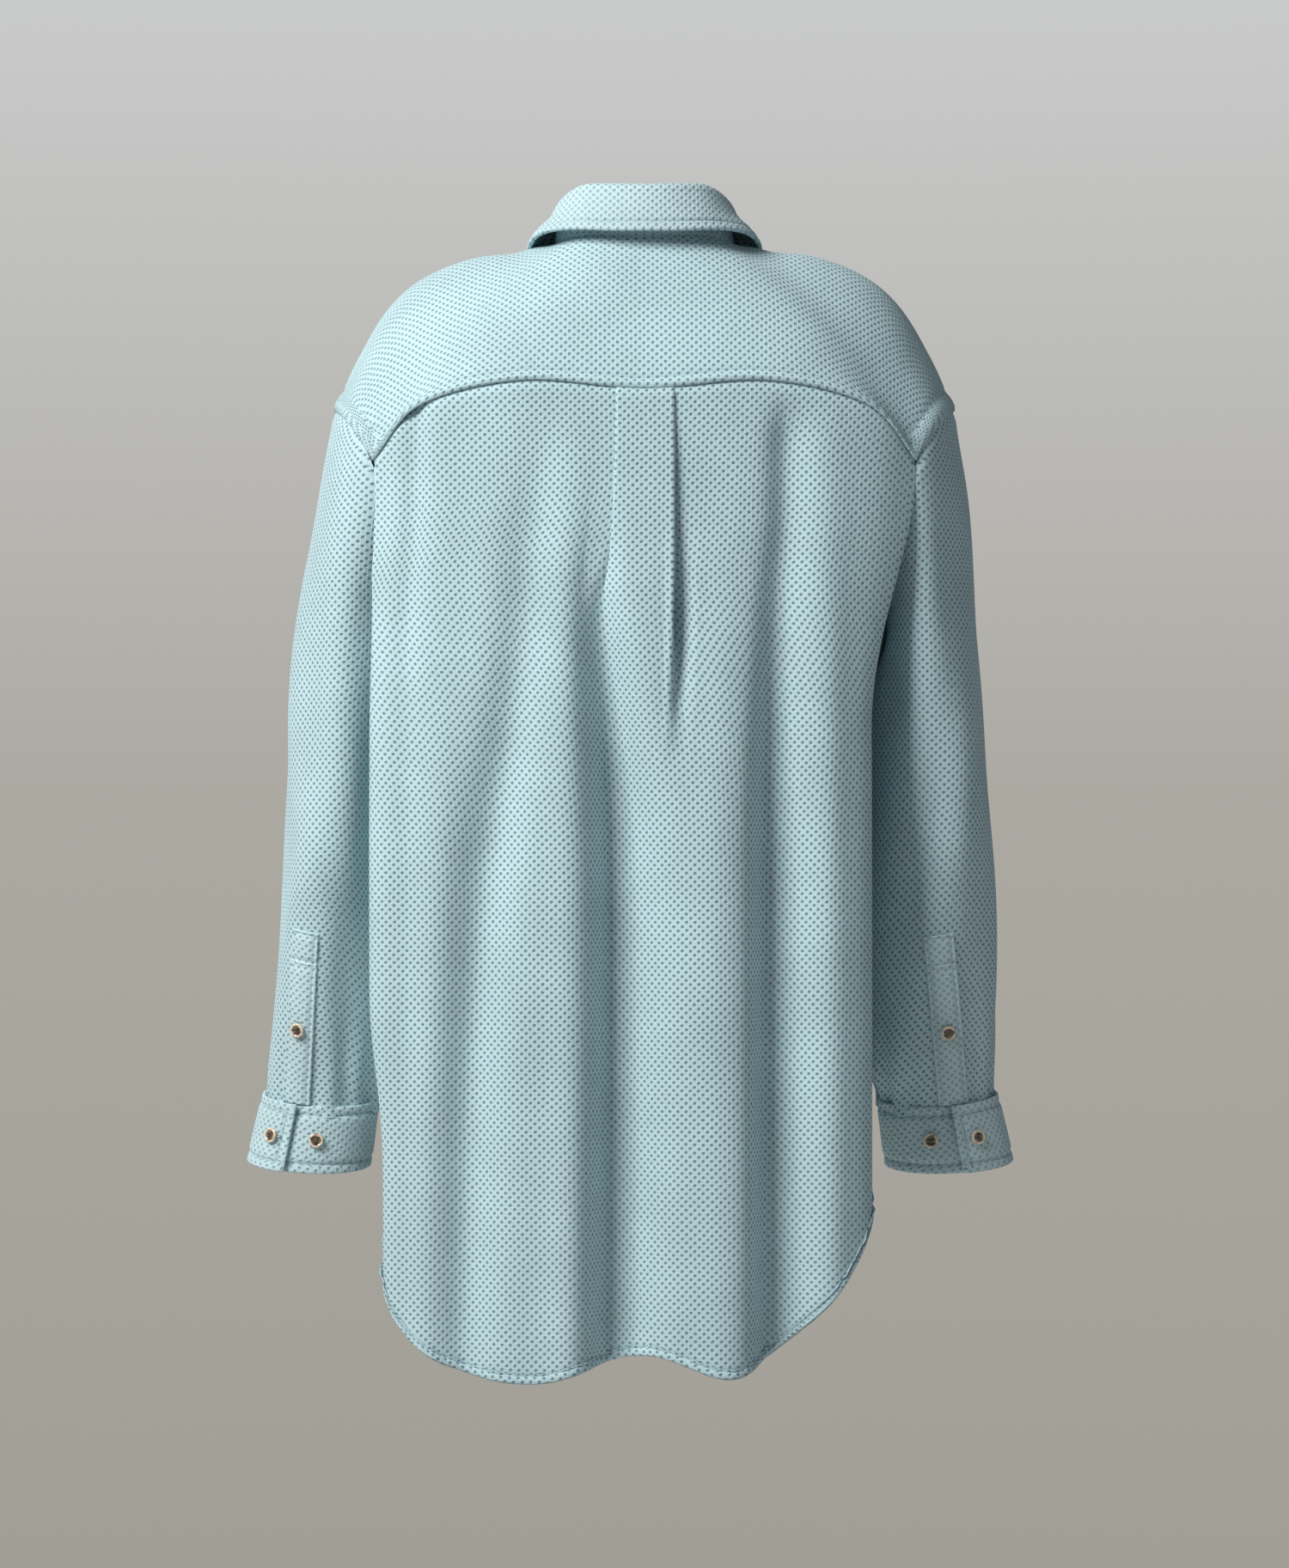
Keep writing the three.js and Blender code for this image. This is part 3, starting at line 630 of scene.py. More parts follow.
def cloth_coordinates(points: Array, normals: Array, grain: Sequence[float] | None,
                      across: bool) -> Array:
    """Works out each point's place on the flat cloth, so that the knit runs straight.

    Args:
        points: The grid.
        normals: Its normals.
        grain: The direction of the cloth's wales, or None to follow the grid.
        across: Whether grain gives the courses' direction instead.

    Returns:
        U and V in metres for each point.
    """
    if grain is None:
        along = unit(np.gradient(points, axis=0))
    else:
        hint = np.asarray(grain, float)
        along = unit(hint - (normals @ hint)[..., None] * normals)
    if across:
        right, down = along, np.cross(normals, along)
    else:
        right, down = np.cross(along, normals), along
    step_u, step_v = np.diff(points, axis=1), np.diff(points, axis=0)
    rows, columns = points.shape[:2]
    sideways, falls = [], []
    for axis in (right, down):
        run = ((axis[:, 1:] + axis[:, :-1]) / 2 * step_u).sum(-1)
        run = np.concatenate([np.zeros((rows, 1)), np.cumsum(run, axis=1)], axis=1)
        sideways.append(run - run[:, columns // 2][:, None])
        fall = ((axis[1:] + axis[:-1]) / 2 * step_v).sum(-1)
        fall = np.concatenate([np.zeros((1, columns)), np.cumsum(fall, axis=0)])
        falls.append(fall - fall[rows // 2])
    u = sideways[0] + falls[0][:, columns // 2][:, None]
    v = sideways[1][rows // 2] + falls[1]
    return np.stack([u, v], axis=-1) * METRES


def flat_size(points: Array) -> tuple[tuple[float, float], float]:
    """The size and the area of a grid laid flat, in metres."""
    across, down = np.diff(points, axis=1), np.diff(points, axis=0)
    width = np.linalg.norm(across, axis=-1).sum(1).max() * METRES
    length = np.linalg.norm(down, axis=-1).sum(0).max() * METRES
    cells = np.linalg.norm(np.cross(across[:-1], down[:, :-1]), axis=-1)
    area = min(float(cells.sum()) * METRES**2, width * length)
    return (float(width), float(length)), max(area, 0.31 * float(width) * float(length))


def finished(piece: bpy.types.Object, sharp: float = 50.0) -> bpy.types.Object:
    """Applies a piece's modifiers and shades it smooth between its sharp edges."""
    graph = bpy.context.evaluated_depsgraph_get()
    mesh = bpy.data.meshes.new_from_object(piece.evaluated_get(graph))
    old = piece.data
    piece.modifiers.clear()
    piece.data = mesh
    mesh.name = piece.name
    bpy.data.meshes.remove(old)
    mesh.shade_smooth()
    mesh.set_sharp_from_angle(angle=math.radians(sharp))
    return piece


def meshed(name: str, shape: bmesh.types.BMesh) -> bpy.types.Mesh:
    """Turns a bmesh into a mesh and frees it."""
    mesh = bpy.data.meshes.new(name)
    shape.to_mesh(mesh)
    shape.free()
    return mesh


def linked(name: str, data: bpy.types.ID) -> bpy.types.Object:
    """Makes an object of some data and puts it in the scene."""
    made = bpy.data.objects.new(name, data)
    bpy.context.scene.collection.objects.link(made)
    return made


def added(name: str, shape: bmesh.types.BMesh, material: bpy.types.Material) -> bpy.types.Object:
    """Makes an object of a bmesh and dresses it."""
    mesh = meshed(name, shape)
    mesh.materials.append(material)
    return linked(name, mesh)


def spun(profile: Profile, steps: int) -> bmesh.types.BMesh:
    """Turns a profile of radius and height, in metres, round the upright axis."""
    shape = bmesh.new()
    corners = [shape.verts.new((radius, 0, height)) for radius, height in profile]
    edges = [shape.edges.new(pair) for pair in zip(corners, corners[1:])]
    bmesh.ops.spin(shape, geom=corners + edges, cent=(0, 0, 0), axis=(0, 0, 1),
                   angle=2 * math.pi, steps=steps, use_merge=True)
    return shape


def sewn(name: str, points: Array, faces: Sequence[float], material: bpy.types.Material,
         wall: float, grain: Sequence[float] | None = None, across: bool = False,
         closed: bool = False) -> bpy.types.Object:
    """Makes a cloth of one grid of points.

    Args:
        name: The piece's name.
        points: The middle of the cloth, in millimetres.
        faces: The side that it faces at its middle.
        material: Its finish.
        wall: Its thickness.
        grain: The wales' direction, or None to follow the grid.
        across: Whether grain gives the courses' direction.
        closed: Whether its last column lies on its first.

    Returns:
        The finished piece.
    """
    rows, columns = points.shape[0] - 1, points.shape[1] - 1
    normals = normals_of(points, faces, closed)
    coordinates = cloth_coordinates(points, normals, grain, across)
    outer = (points + normals * wall / 2) * METRES
    shape = bmesh.new()
    bmesh.ops.create_grid(shape, x_segments=columns, y_segments=rows, size=0.5)
    layer = shape.loops.layers.uv.new("cloth")
    for vertex in shape.verts:
        vertex.index = round((0.5 - vertex.co.y) * rows) * (columns + 1) + round(
            (vertex.co.x + 0.5) * columns
        )
    flat_uv = coordinates.reshape(-1, 2)
    for face in shape.faces:
        for loop in face.loops:
            loop[layer].uv = flat_uv[loop.vert.index]
    flat_points = outer.reshape(-1, 3)
    for vertex in shape.verts:
        vertex.co = flat_points[vertex.index]
    shape.faces.ensure_lookup_table()
    probe = shape.faces[len(shape.faces) // 2]
    outward = Vector(normals.reshape(-1, 3)[probe.verts[0].index])
    shape.normal_update()
    if probe.normal.dot(outward) < 0:
        bmesh.ops.reverse_faces(shape, faces=shape.faces[:])
    if closed:
        bmesh.ops.remove_doubles(shape, verts=shape.verts[:], dist=1e-5)
    piece = added(name, shape, material)
    solid = piece.modifiers.new("wall", "SOLIDIFY")
    solid.thickness = wall * METRES
    solid.offset = -1.0
    return finished(piece)


def declared(piece: bpy.types.Object, points: Array) -> None:
    """Logs a sheet of cloth's flat size and area, worked out from its grid."""
    flat, area = flat_size(points)
    LOG.info("%s is cut %.3f by %.3f m, %.4f square metres", piece.name, *flat, area)


@dataclass(frozen=True)
class Placement:
    """What a piece rides on and stands for."""

    body: Body = Body.TORSO
    slot: Slot = Slot.CLOTH
    nodes: tuple[str, ...] = ()

    def apply(self, piece: bpy.types.Object) -> bpy.types.Object:
        """Tells the frame about a piece that moves with one body."""
        if self.nodes:
            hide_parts(*self.nodes)
        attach(piece, self.body.value)
        LOG.info("%s: %d faces on %s", piece.name, len(piece.data.polygons), self.body.value)
        return piece

    def sew(self, name: str, points: Array, faces: Sequence[float],
            material: bpy.types.Material, wall: float, hold: Hold, *rests_on: str,
            grain: Sequence[float] | None = None, across: bool = False) -> None:
        """Args:
            name: The piece's name.
            points: The middle of the cloth, in millimetres.
            faces: The side that it faces at its middle.
            material: Its finish.
            wall: Its thickness.
            hold: How it is held; not used.
            rests_on: The pieces that hold it; not used.
            grain: The wales' direction, or None to follow the grid.
            across: Whether grain gives the courses' direction.
        """
        piece = self.apply(sewn(name, points, faces, material, wall, grain, across))
        declared(piece, points)


# ---- Stitches ----


@dataclass(frozen=True)
class Stitch:
    """A run of lockstitches in thick thread."""

    pitch: float = 3.6
    length: float = 2.7
    radius: float = 0.3

    def run(self, shape: bmesh.types.BMesh, path: Array, normals: Array,
            across: bool = False) -> None:
        """Adds one run.

        Args:
            shape: The mesh that the stitches join.
            path: The line that they follow, in millimetres.
            normals: The cloth's normals along it.
            across: Whether each stitch lies across the line.
        """
        steps = np.linalg.norm(np.diff(path, axis=0), axis=-1)
        lengths = np.concatenate([[0.0], np.cumsum(steps)])
        count = max(int(lengths[-1] / self.pitch), 1)
        for k in range(count):
            at = (k + 0.5) * lengths[-1] / count
            ends = [
                np.array([np.interp(at + half, lengths, path[:, axis]) for axis in range(3)])
                for half in (-0.4, 0.4)
            ]
            up = unit(np.array([np.interp(at, lengths, normals[:, axis]) for axis in range(3)]))
            along = unit(ends[1] - ends[0])
            beside = np.cross(up, along)
            if across:
                along, beside = beside, -along
            turn = Matrix((
                along * self.length / 2, beside * self.radius, up * self.radius,
            )).transposed() * METRES
            matrix = Matrix.Translation(Vector((ends[0] + ends[1]) / 2) * METRES) @ turn.to_4x4()
            bmesh.ops.create_icosphere(shape, subdivisions=1, radius=1.0, matrix=matrix)


def thread_line(points: Array, normals: Array, place: object, lift: float) -> Run:
    """A line of a sheet's grid, lifted off the sheet, and the normals along it."""
    return points[place] + normals[place] * lift, normals[place]


def stitched(name: str, runs: Sequence[Run], material: bpy.types.Material,
             body: Body = Body.TORSO, stitch: Stitch = Stitch()) -> None:
    """Makes one piece of several runs of stitches."""
    shape = bmesh.new()
    for path, normals in runs:
        stitch.run(shape, path, normals)
    threaded(name, shape, material, body)


def threaded(name: str, shape: bmesh.types.BMesh, material: bpy.types.Material,
             body: Body) -> None:
    """Makes a piece of worked thread."""
    bmesh.ops.recalc_face_normals(shape, faces=shape.faces[:])
    piece = added(name, shape, material)
    piece.data.shade_smooth()
    Placement(body, Slot.THREAD).apply(piece)


# ---- Finishes ----


class Wiring:
    """A material's nodes, added and joined in short calls."""

    def __init__(self, name: str) -> None:
        """Starts a material with an empty tree."""
        self.material = bpy.data.materials.new(name)
        self.material.use_nodes = True
        self.tree = self.material.node_tree
        self.tree.nodes.clear()
        self.output = self.tree.nodes.new("ShaderNodeOutputMaterial")
        self.shader = self.tree.nodes.new("ShaderNodeBsdfPrincipled")
        self.join(self.shader.outputs["BSDF"], self.output.inputs["Surface"])

    def join(self, source: bpy.types.NodeSocket, target: bpy.types.NodeSocket) -> None:
        """Links two sockets."""
        self.tree.links.new(source, target)

    def node(self, kind: str, **values: object) -> bpy.types.Node:
        """Adds a node and sets its properties."""
        made = self.tree.nodes.new(kind)
        for name, value in values.items():
            setattr(made, name, value)
        return made

    def fill(self, node: bpy.types.Node, values: dict[str | int, object]) -> bpy.types.Node:
        """Sets a node's inputs: a socket is joined, and anything else is a plain value."""
        for name, value in values.items():
            if isinstance(value, bpy.types.NodeSocket):
                self.join(value, node.inputs[name])
            else:
                node.inputs[name].default_value = value
        return node

    def made(self, kind: str, values: dict[str | int, object], output: str | int = 0,
             **settings: object) -> bpy.types.NodeSocket:
        """Adds a node with its inputs set and gives one of its outputs."""
        return self.fill(self.node(kind, **settings), values).outputs[output]

    def shade(self, values: dict[str | int, object]) -> None:
        """Sets the shader's inputs."""
        self.fill(self.shader, values)

    def sum(self, operation: str, *terms: object) -> bpy.types.NodeSocket:
        """Adds a Math node of sockets and numbers."""
        return self.made("ShaderNodeMath", dict(enumerate(terms)), operation=operation)

    def ramp(self, source: bpy.types.NodeSocket, low: float, high: float,
             to_low: float = 0.0, to_high: float = 1.0) -> bpy.types.NodeSocket:
        """Maps a range onto another with soft ends."""
        values = {"From Min": low, "From Max": high, "To Min": to_low, "To Max": to_high,
                  "Value": source}
        return self.made("ShaderNodeMapRange", values, "Result", interpolation_type="SMOOTHSTEP")

    def colours(self, source: bpy.types.NodeSocket,
                stops: Sequence[tuple[float, Colour]]) -> bpy.types.NodeSocket:
        """Colours a value by a ramp."""
        made = self.node("ShaderNodeValToRGB")
        elements = made.color_ramp.elements
        while len(elements) < len(stops):
            elements.new(1.0)
        for element, (place, colour) in zip(elements, stops):
            element.position = place
            element.color = (*colour, 1.0)
        self.join(source, made.inputs["Fac"])
        return made.outputs["Color"]

    def noise(self, scale: float, detail: float,
              vector: bpy.types.NodeSocket) -> bpy.types.NodeSocket:
        """Adds a noise of the given scale, in waves to the metre."""
        values = {"Scale": scale, "Detail": detail, "Vector": vector}
        return self.made("ShaderNodeTexNoise", values, "Fac")

    def bump(self, height: bpy.types.NodeSocket, distance: float, strength: float) -> None:
        """Bumps the surface by a height."""
        values = {"Distance": distance, "Strength": strength, "Height": height}
        self.shade({"Normal": self.made("ShaderNodeBump", values, "Normal")})


@dataclass(frozen=True)
class HoneycombCotton:
    """A loose honeycomb knit: rows of raised loops round small staggered holes, with painted shade
    in its hollows and a painted highlight on its loop tops.
    """

    name: str
    # Scales the whole colour; below 1 it is painted shade.
    shade: float = 1.0
    hole_alpha: float = 0.5
    loop_alpha: float = 0.97
    hole_pitch: float = 0.0064
    row_pair: float = 0.0060
    # The first colour is painted shade for the knit's hollows and the last a painted highlight for
    # its loop tops; the middle is the cloth's own tone.
    hollow_shade: Colour = (0.17, 0.305, 0.35)
    middle: Colour = (0.385, 0.57, 0.62)
    raised: Colour = (0.55, 0.735, 0.785)
    relief: float = 1.0
    strand_pitch: float = 0.0015
    wander: float = 0.0022

    def material(self) -> bpy.types.Material:
        """Builds the finish."""
        wiring = Wiring(self.name)
        place = wiring.node("ShaderNodeUVMap", uv_map="cloth").outputs["UV"]
        wobble = wiring.made("ShaderNodeTexNoise", {"Scale": 55.0, "Detail": 2.0, "Vector": place},
                             "Color")
        centred = wiring.made("ShaderNodeVectorMath", {0: wobble, 1: (0.5, 0.5, 0.5)},
                              operation="SUBTRACT")
        scaled = wiring.made("ShaderNodeVectorMath", {0: centred, "Scale": self.wander},
                             operation="SCALE")
        moved = wiring.made("ShaderNodeVectorMath", {0: place, 1: scaled}, operation="ADD")
        parts = wiring.fill(wiring.node("ShaderNodeSeparateXYZ"), {0: moved})
        waves = []
        for axis, pitch in ((0, self.hole_pitch), (1, self.row_pair)):
            turns = wiring.sum("MULTIPLY", parts.outputs[axis], 2 * math.pi / pitch)
            waves.append(wiring.sum("COSINE", turns))
        lattice = wiring.sum("MULTIPLY", *waves)
        strands = []
        for sense in (1.0, -1.0):
            slant = wiring.sum("MULTIPLY", parts.outputs[1], sense)
            lean = wiring.sum("ADD", parts.outputs[0], slant)
            turns = wiring.sum("MULTIPLY", lean, 2 * math.pi / self.strand_pitch)
            strands.append(wiring.sum("SINE", turns))
        weave = wiring.sum("MULTIPLY", *strands)
        hole = wiring.ramp(lattice, 0.78, 1.0)
        loops = wiring.ramp(lattice, 0.97, 0.0)
        height = wiring.sum("MULTIPLY_ADD", weave, 0.10, loops)
        # The tone mixes a fine random grain with the loops' height, so the colour ramp paints shade
        # into the hollows and a highlight onto the loop tops.
        tone = wiring.sum("MULTIPLY_ADD", wiring.noise(620.0, 2.0, place), 0.30,
                          wiring.sum("MULTIPLY_ADD", height, 0.80, -0.10))
        colour = wiring.colours(tone, ((0.0, self.hollow_shade), (0.42, self.middle), (1.0, self.raised)))
        cloud = wiring.ramp(wiring.noise(14.0, 3.0, place), 0.25, 0.75, 0.93, 1.05)
        # The cloud varies the tone at random; the shade factor scales the whole colour, and below 1
        # that is painted shade.
        tint = {0: colour, "Scale": wiring.sum("MULTIPLY", cloud, self.shade)}
        wiring.shade({
            "Base Color": wiring.made("ShaderNodeVectorMath", tint, operation="SCALE"),
            "Alpha": wiring.ramp(hole, 0.0, 1.0, self.loop_alpha, self.hole_alpha),
            "Roughness": wiring.ramp(height, 0.0, 1.0, 0.98, 0.84),
            "Specular IOR Level": 0.25,
            "Sheen Weight": 0.22,
            "Sheen Roughness": 0.45,
            "Sheen Tint": (0.80, 0.93, 0.97, 1.0),
        })
        wiring.bump(height, 0.0009 * self.relief, 0.85)
        return wiring.material


@dataclass(frozen=True)
class SewingThread:
    """A twisted thread, with painted shade in the grooves of its twist."""

    name: str
    colour: Colour
    twist: float = 0.0009

    def material(self) -> bpy.types.Material:
        """Builds the finish."""
        wiring = Wiring(self.name)
        place = wiring.node("ShaderNodeTexCoord").outputs["Object"]
        wave = wiring.made(
            "ShaderNodeTexWave", {"Scale": 0.314 / self.twist, "Distortion": 1.0, "Vector": place},
            "Fac", wave_type="BANDS", bands_direction="DIAGONAL",
        )
        # Painted shade: the darker colour fills the grooves between the twist's bands.
        dark = tuple(part * 0.72 for part in self.colour)
        wiring.shade({
            "Base Color": wiring.colours(wave, ((0.0, dark), (1.0, self.colour))),
            "Roughness": 0.72,
            "Sheen Weight": 0.2,
        })
        wiring.bump(wave, 0.0001, 0.5)
        return wiring.material


@dataclass(frozen=True)
class PolishedHorn:
    """Mottled horn under a polished coat, with painted shade darkening its sunk middle."""

    name: str = "polished_horn"
    dark: Colour = (0.030, 0.020, 0.014)
    brown: Colour = (0.24, 0.165, 0.105)
    pale: Colour = (0.74, 0.64, 0.50)

    def material(self) -> bpy.types.Material:
        """Builds the finish."""
        wiring = Wiring(self.name)
        place = wiring.node("ShaderNodeTexCoord").outputs["Object"]
        stretched = wiring.made("ShaderNodeMapping", {"Scale": (1.0, 1.0, 3.0), "Vector": place})
        mottle = wiring.noise(210.0, 4.0, stretched)
        # Painted shade: the depth attribute darkens the button's sunk middle.
        sunk_middle_shade = wiring.node("ShaderNodeAttribute", attribute_name="depth",
                            attribute_type="GEOMETRY")
        tone = wiring.sum("SUBTRACT", mottle, wiring.sum("MULTIPLY", sunk_middle_shade.outputs["Fac"], 0.34))
        ramp = ((0.06, self.dark), (0.26, self.brown), (0.44, self.pale))
        wiring.shade({
            "Base Color": wiring.colours(tone, ramp),
            "Roughness": wiring.ramp(mottle, 0.3, 0.7, 0.34, 0.2),
            "Coat Weight": 0.5,
            "Coat Roughness": 0.12,
        })
        wiring.bump(wiring.noise(900.0, 2.0, place), 0.00005, 0.4)
        return wiring.material


@dataclass(frozen=True)
class LabelSatin:
    """A blank woven satin tape, with painted shade where its threads dip."""

    name: str = "label_satin"
    colour: Colour = (0.80, 0.79, 0.74)

    def material(self) -> bpy.types.Material:
        """Builds the finish."""
        wiring = Wiring(self.name)
        place = wiring.node("ShaderNodeUVMap", uv_map="cloth").outputs["UV"]
        parts = wiring.node("ShaderNodeSeparateXYZ")
        wiring.join(place, parts.inputs[0])
        threads = [
            wiring.sum("SINE", wiring.sum("MULTIPLY", parts.outputs[axis], 2 * math.pi / pitch))
            for axis, pitch in ((0, 0.0006), (1, 0.0010))
        ]
        weave = wiring.ramp(wiring.sum("MULTIPLY", *threads), -1.0, 1.0)
        # Painted shade: the darker colour marks where the woven threads dip.
        dipped_thread_shade = tuple(part * 0.86 for part in self.colour)
        wiring.shade({
            "Base Color": wiring.colours(weave, ((0.0, dipped_thread_shade), (1.0, self.colour))),
            "Roughness": 0.42,
            "Sheen Weight": 0.3,
        })
        wiring.bump(weave, 0.0001, 0.5)
        return wiring.material


@dataclass(frozen=True)
class StudioPaper:
    """Grey studio paper that pales towards its top."""

    name: str
    bottom: Colour
    top: Colour
    low: float
    high: float

    def material(self) -> bpy.types.Material:
        """Builds the finish."""
        wiring = Wiring(self.name)
        place = wiring.node("ShaderNodeTexCoord").outputs["Object"]
        parts = wiring.node("ShaderNodeSeparateXYZ")
        wiring.join(place, parts.inputs[0])
        share = wiring.ramp(parts.outputs[2], self.low, self.high)
        grain = wiring.noise(30.0, 3.0, place)
        tone = wiring.sum("MULTIPLY_ADD", grain, 0.02, share)
        wiring.shade({
            "Base Color": wiring.colours(tone, ((0.0, self.bottom), (1.0, self.top))),
            "Roughness": 0.95,
            "Specular IOR Level": 0.1,
        })
        return wiring.material


def worn(
    finish: HoneycombCotton | SewingThread | PolishedHorn | LabelSatin,
) -> bpy.types.Material:
    """A field that builds its finish when the wardrobe is made."""
    return field(default_factory=finish.material)


@dataclass
class Wardrobe:
    """The shirt's finishes, each made once."""

    cloth: bpy.types.Material = worn(HoneycombCotton("honeycomb_cotton"))
    doubled: bpy.types.Material = worn(
        HoneycombCotton("honeycomb_cotton_doubled", hole_alpha=0.9, loop_alpha=1.0)
    )
    # The fused copy has paler hollows, so less painted shade in them, and a paler middle tone.
    fused: bpy.types.Material = worn(
        HoneycombCotton("honeycomb_cotton_fused", hole_alpha=1.0, loop_alpha=1.0,
                        hollow_shade=(0.33, 0.49, 0.53), middle=(0.45, 0.61, 0.65), relief=1.25)
    )
    # The facing is the same knit with its colour scaled to 0.94: painted shade for the inner layers
    # that lie under the outer cloth.
    facing: bpy.types.Material = worn(
        HoneycombCotton("honeycomb_facing", shade=0.94, hole_alpha=0.55, loop_alpha=0.98)
    )
    thread: bpy.types.Material = worn(SewingThread("topstitch_thread", (0.50, 0.68, 0.72)))
    button_thread: bpy.types.Material = worn(SewingThread("button_thread", (0.10, 0.085, 0.07)))
    horn: bpy.types.Material = worn(PolishedHorn())
    satin: bpy.types.Material = worn(LabelSatin())


# ---- The sub-assemblies ----

BACKWARD = (0.0, -1.0, 0.0)
FORWARD = (0.0, 1.0, 0.0)
DOWNWARD = (0.0, 0.0, -1.0)
WEARERS_RIGHT = (1.0, 0.0, 0.0)
YOKE_FACING = (0.0, -0.4, 1.0)

BACK_LENGTH = 730.0
FRONT_LENGTH = 640.0
YOKE_LENGTH = 110.0
SEAM_Z = PATTERN.yoke_z


def hem_relief(below: Array, lumps: Array | float = 1.0) -> Array:
    """How a rolled hem swells above its edge and is drawn in at its stitches.

    Args:
        below: The cloth that is left below each point, in millimetres.
        lumps: How unevenly the hem swells.

    Returns:
        How far each point is raised.
    """
    swell = 0.9 * np.clip(np.sin(np.clip(below / 6.2, 0, 1) * math.pi), 0, 1) * lumps
    return swell - 0.9 * bell(below - 6.6, 0.9)


@dataclass
class BackPanel:
    """The back: a box pleat under the yoke, and soft folds that deepen towards the tail."""

    wall: float = 0.7
    hem_roll: float = 1.25
    hem_depth: float = 6.0
    pleat_height: float = 3.4
    pleat_tuck: float = 8.0
    wing_draw: float = 11.0
    heights: tuple[float, ...] = (-116, -170, -213, -264, -300, -370, -411, -463, -527, -655, -850)
    left_pleat: tuple[float, ...] = (-19, -20, -22, -28, -28, -26, -26, -26, -26, -27, -29)
    right_pleat: tuple[float, ...] = (20, 20.5, 20.5, 20.5, 20.5, 19, 13, 5, -2, -6, -8)
    soft_valley: tuple[float, ...] = (-70, -76, -84, -88, -90, -99, -107, -116, -123, -133, -136)
    right_valley: tuple[float, ...] = (105, 104, 104, 99, 97, 94, 93, 93, 93, 93, 93)
    edge_crease: tuple[float, ...] = (
        -168, -170, -171, -174, -176, -176, -176, -176, -176, -176, -176,
    )
    ridges: tuple[tuple[float, float, float], ...] = (
        (-150, 3.2, 15.0), (-56, 4.0, 14.0), (58, 4.5, 20.0), (136, 3.5, 12.0),
    )
    hem_rows: tuple[float, ...] = (16, 12, 9, 7.5, 6.6, 6.0, 5.4, 4, 2.5, 1.2, 0)
    columns: tuple[int, ...] = (34, 30, 22, 6, 12, 6, 30, 44)
    pleat_return: float = 7.0
    side_gap: float = 0.0012

    def _line(self, values: tuple[float, ...], z: Array) -> Array:
        """Where a fold's line lies at some heights."""
        return through(self.heights, values, z)

    @property
    def marks(self) -> Array:
        """The columns that lie on the fold lines, after the first one."""
        return np.cumsum([0, *self.columns])

    def _shares(self, us: Array, vs: Array) -> tuple[Array, Array]:
        """Moves the columns so that they follow the fold lines.

        Args:
            us: Even shares across the panel.
            vs: Shares down it.

        Returns:
            The grid's u and v.
        """
        fine = np.linspace(0, 1, 1201)
        base = laid(PATTERN.back, fine, vs)
        u_grid = np.zeros((len(vs), len(us)))
        lines = (self.edge_crease, self.soft_valley, self.left_pleat, None, None,
                 self.right_pleat, self.right_valley)
        marks = self.marks / sum(self.columns)
        for row in range(len(vs)):
            first, last = int(np.argmin(base[row, :, 0])), int(np.argmax(base[row, :, 0]))
            behind = slice(first, last + 1)
            order, z, own = base[row, behind, 0], base[row, behind, 2], fine[behind]
            order = np.maximum.accumulate(order)
            keys = [0.0]
            for line in lines:
                if line is None:
                    keys.append(math.nan)
                    continue
                at = float(np.interp(self._line(line, np.array([-400.0]))[0], order, own))
                for _ in range(4):
                    height = float(np.interp(at, own, z))
                    at = float(np.interp(self._line(line, np.array([height]))[0], order, own))
                keys.append(at)
            keys.append(1.0)
            rate = float(np.interp(0.51, own, order) - np.interp(0.49, own, order)) / 0.02
            keys[4] = keys[3] + self.pleat_return / rate
            keys[5] = keys[6] - self.pleat_return / rate
            if keys[5] < keys[4]:
                keys[4] = keys[5] = (keys[3] + keys[6]) / 2
            u_grid[row] = np.interp(us, marks, np.maximum.accumulate(keys))
        return u_grid, np.repeat(np.asarray(vs)[:, None], len(us), axis=1)

    def _depth(self, x: Array, z: Array) -> Array:
        """How deep the cloth lies below its plan, for the folds that hang from the seam."""
        fall = np.clip((SEAM_Z - z) / 110, 0, 1)
        low = smooth((-200 - z) / 300)
        soft = self._line(self.soft_valley, z)
        depth = mix(4.0, 14.0, low) * fall * bell(x - soft, mix(16, 22, low))
        main = self._line(self.left_pleat, z) + mix(-6.0, 1.0, low)
        grown = smooth((-135 - z) / 320)
        beside = x - main
        left_wall, right_wall = mix(16.0, 12.0, low), mix(8.0, 34.0, low)
        width = np.where(beside < 0, left_wall, right_wall)
        depth = depth + mix(0.0, 31.0, grown) * bell(beside, width)
        beside = x - self._line(self.right_valley, z)
        width = np.where(beside < 0, 12.0, mix(17.0, 28.0, low))
        depth = depth + mix(8.5, 26.0, low) * smooth((SEAM_Z - z) / 45) * bell(beside, width)
        crease = self._line(self.edge_crease, z)
        fades = smooth((SEAM_Z - z) / 20) * mix(1.0, 0.35, smooth((-220 - z) / 160))
        depth = depth + 5.0 * fades * bell(x - crease, 9.0)
        for middle, high, wide in self.ridges:
            depth = depth - high * mix(0.35, 1.0, low) * fall * bell(x - middle, wide)
        ripple = np.sin(x / 17.0 + z / 160.0) + 0.6 * np.sin(x / 9.5 - z / 90.0 + 1.0)
        return depth + 0.7 * ripple * fall

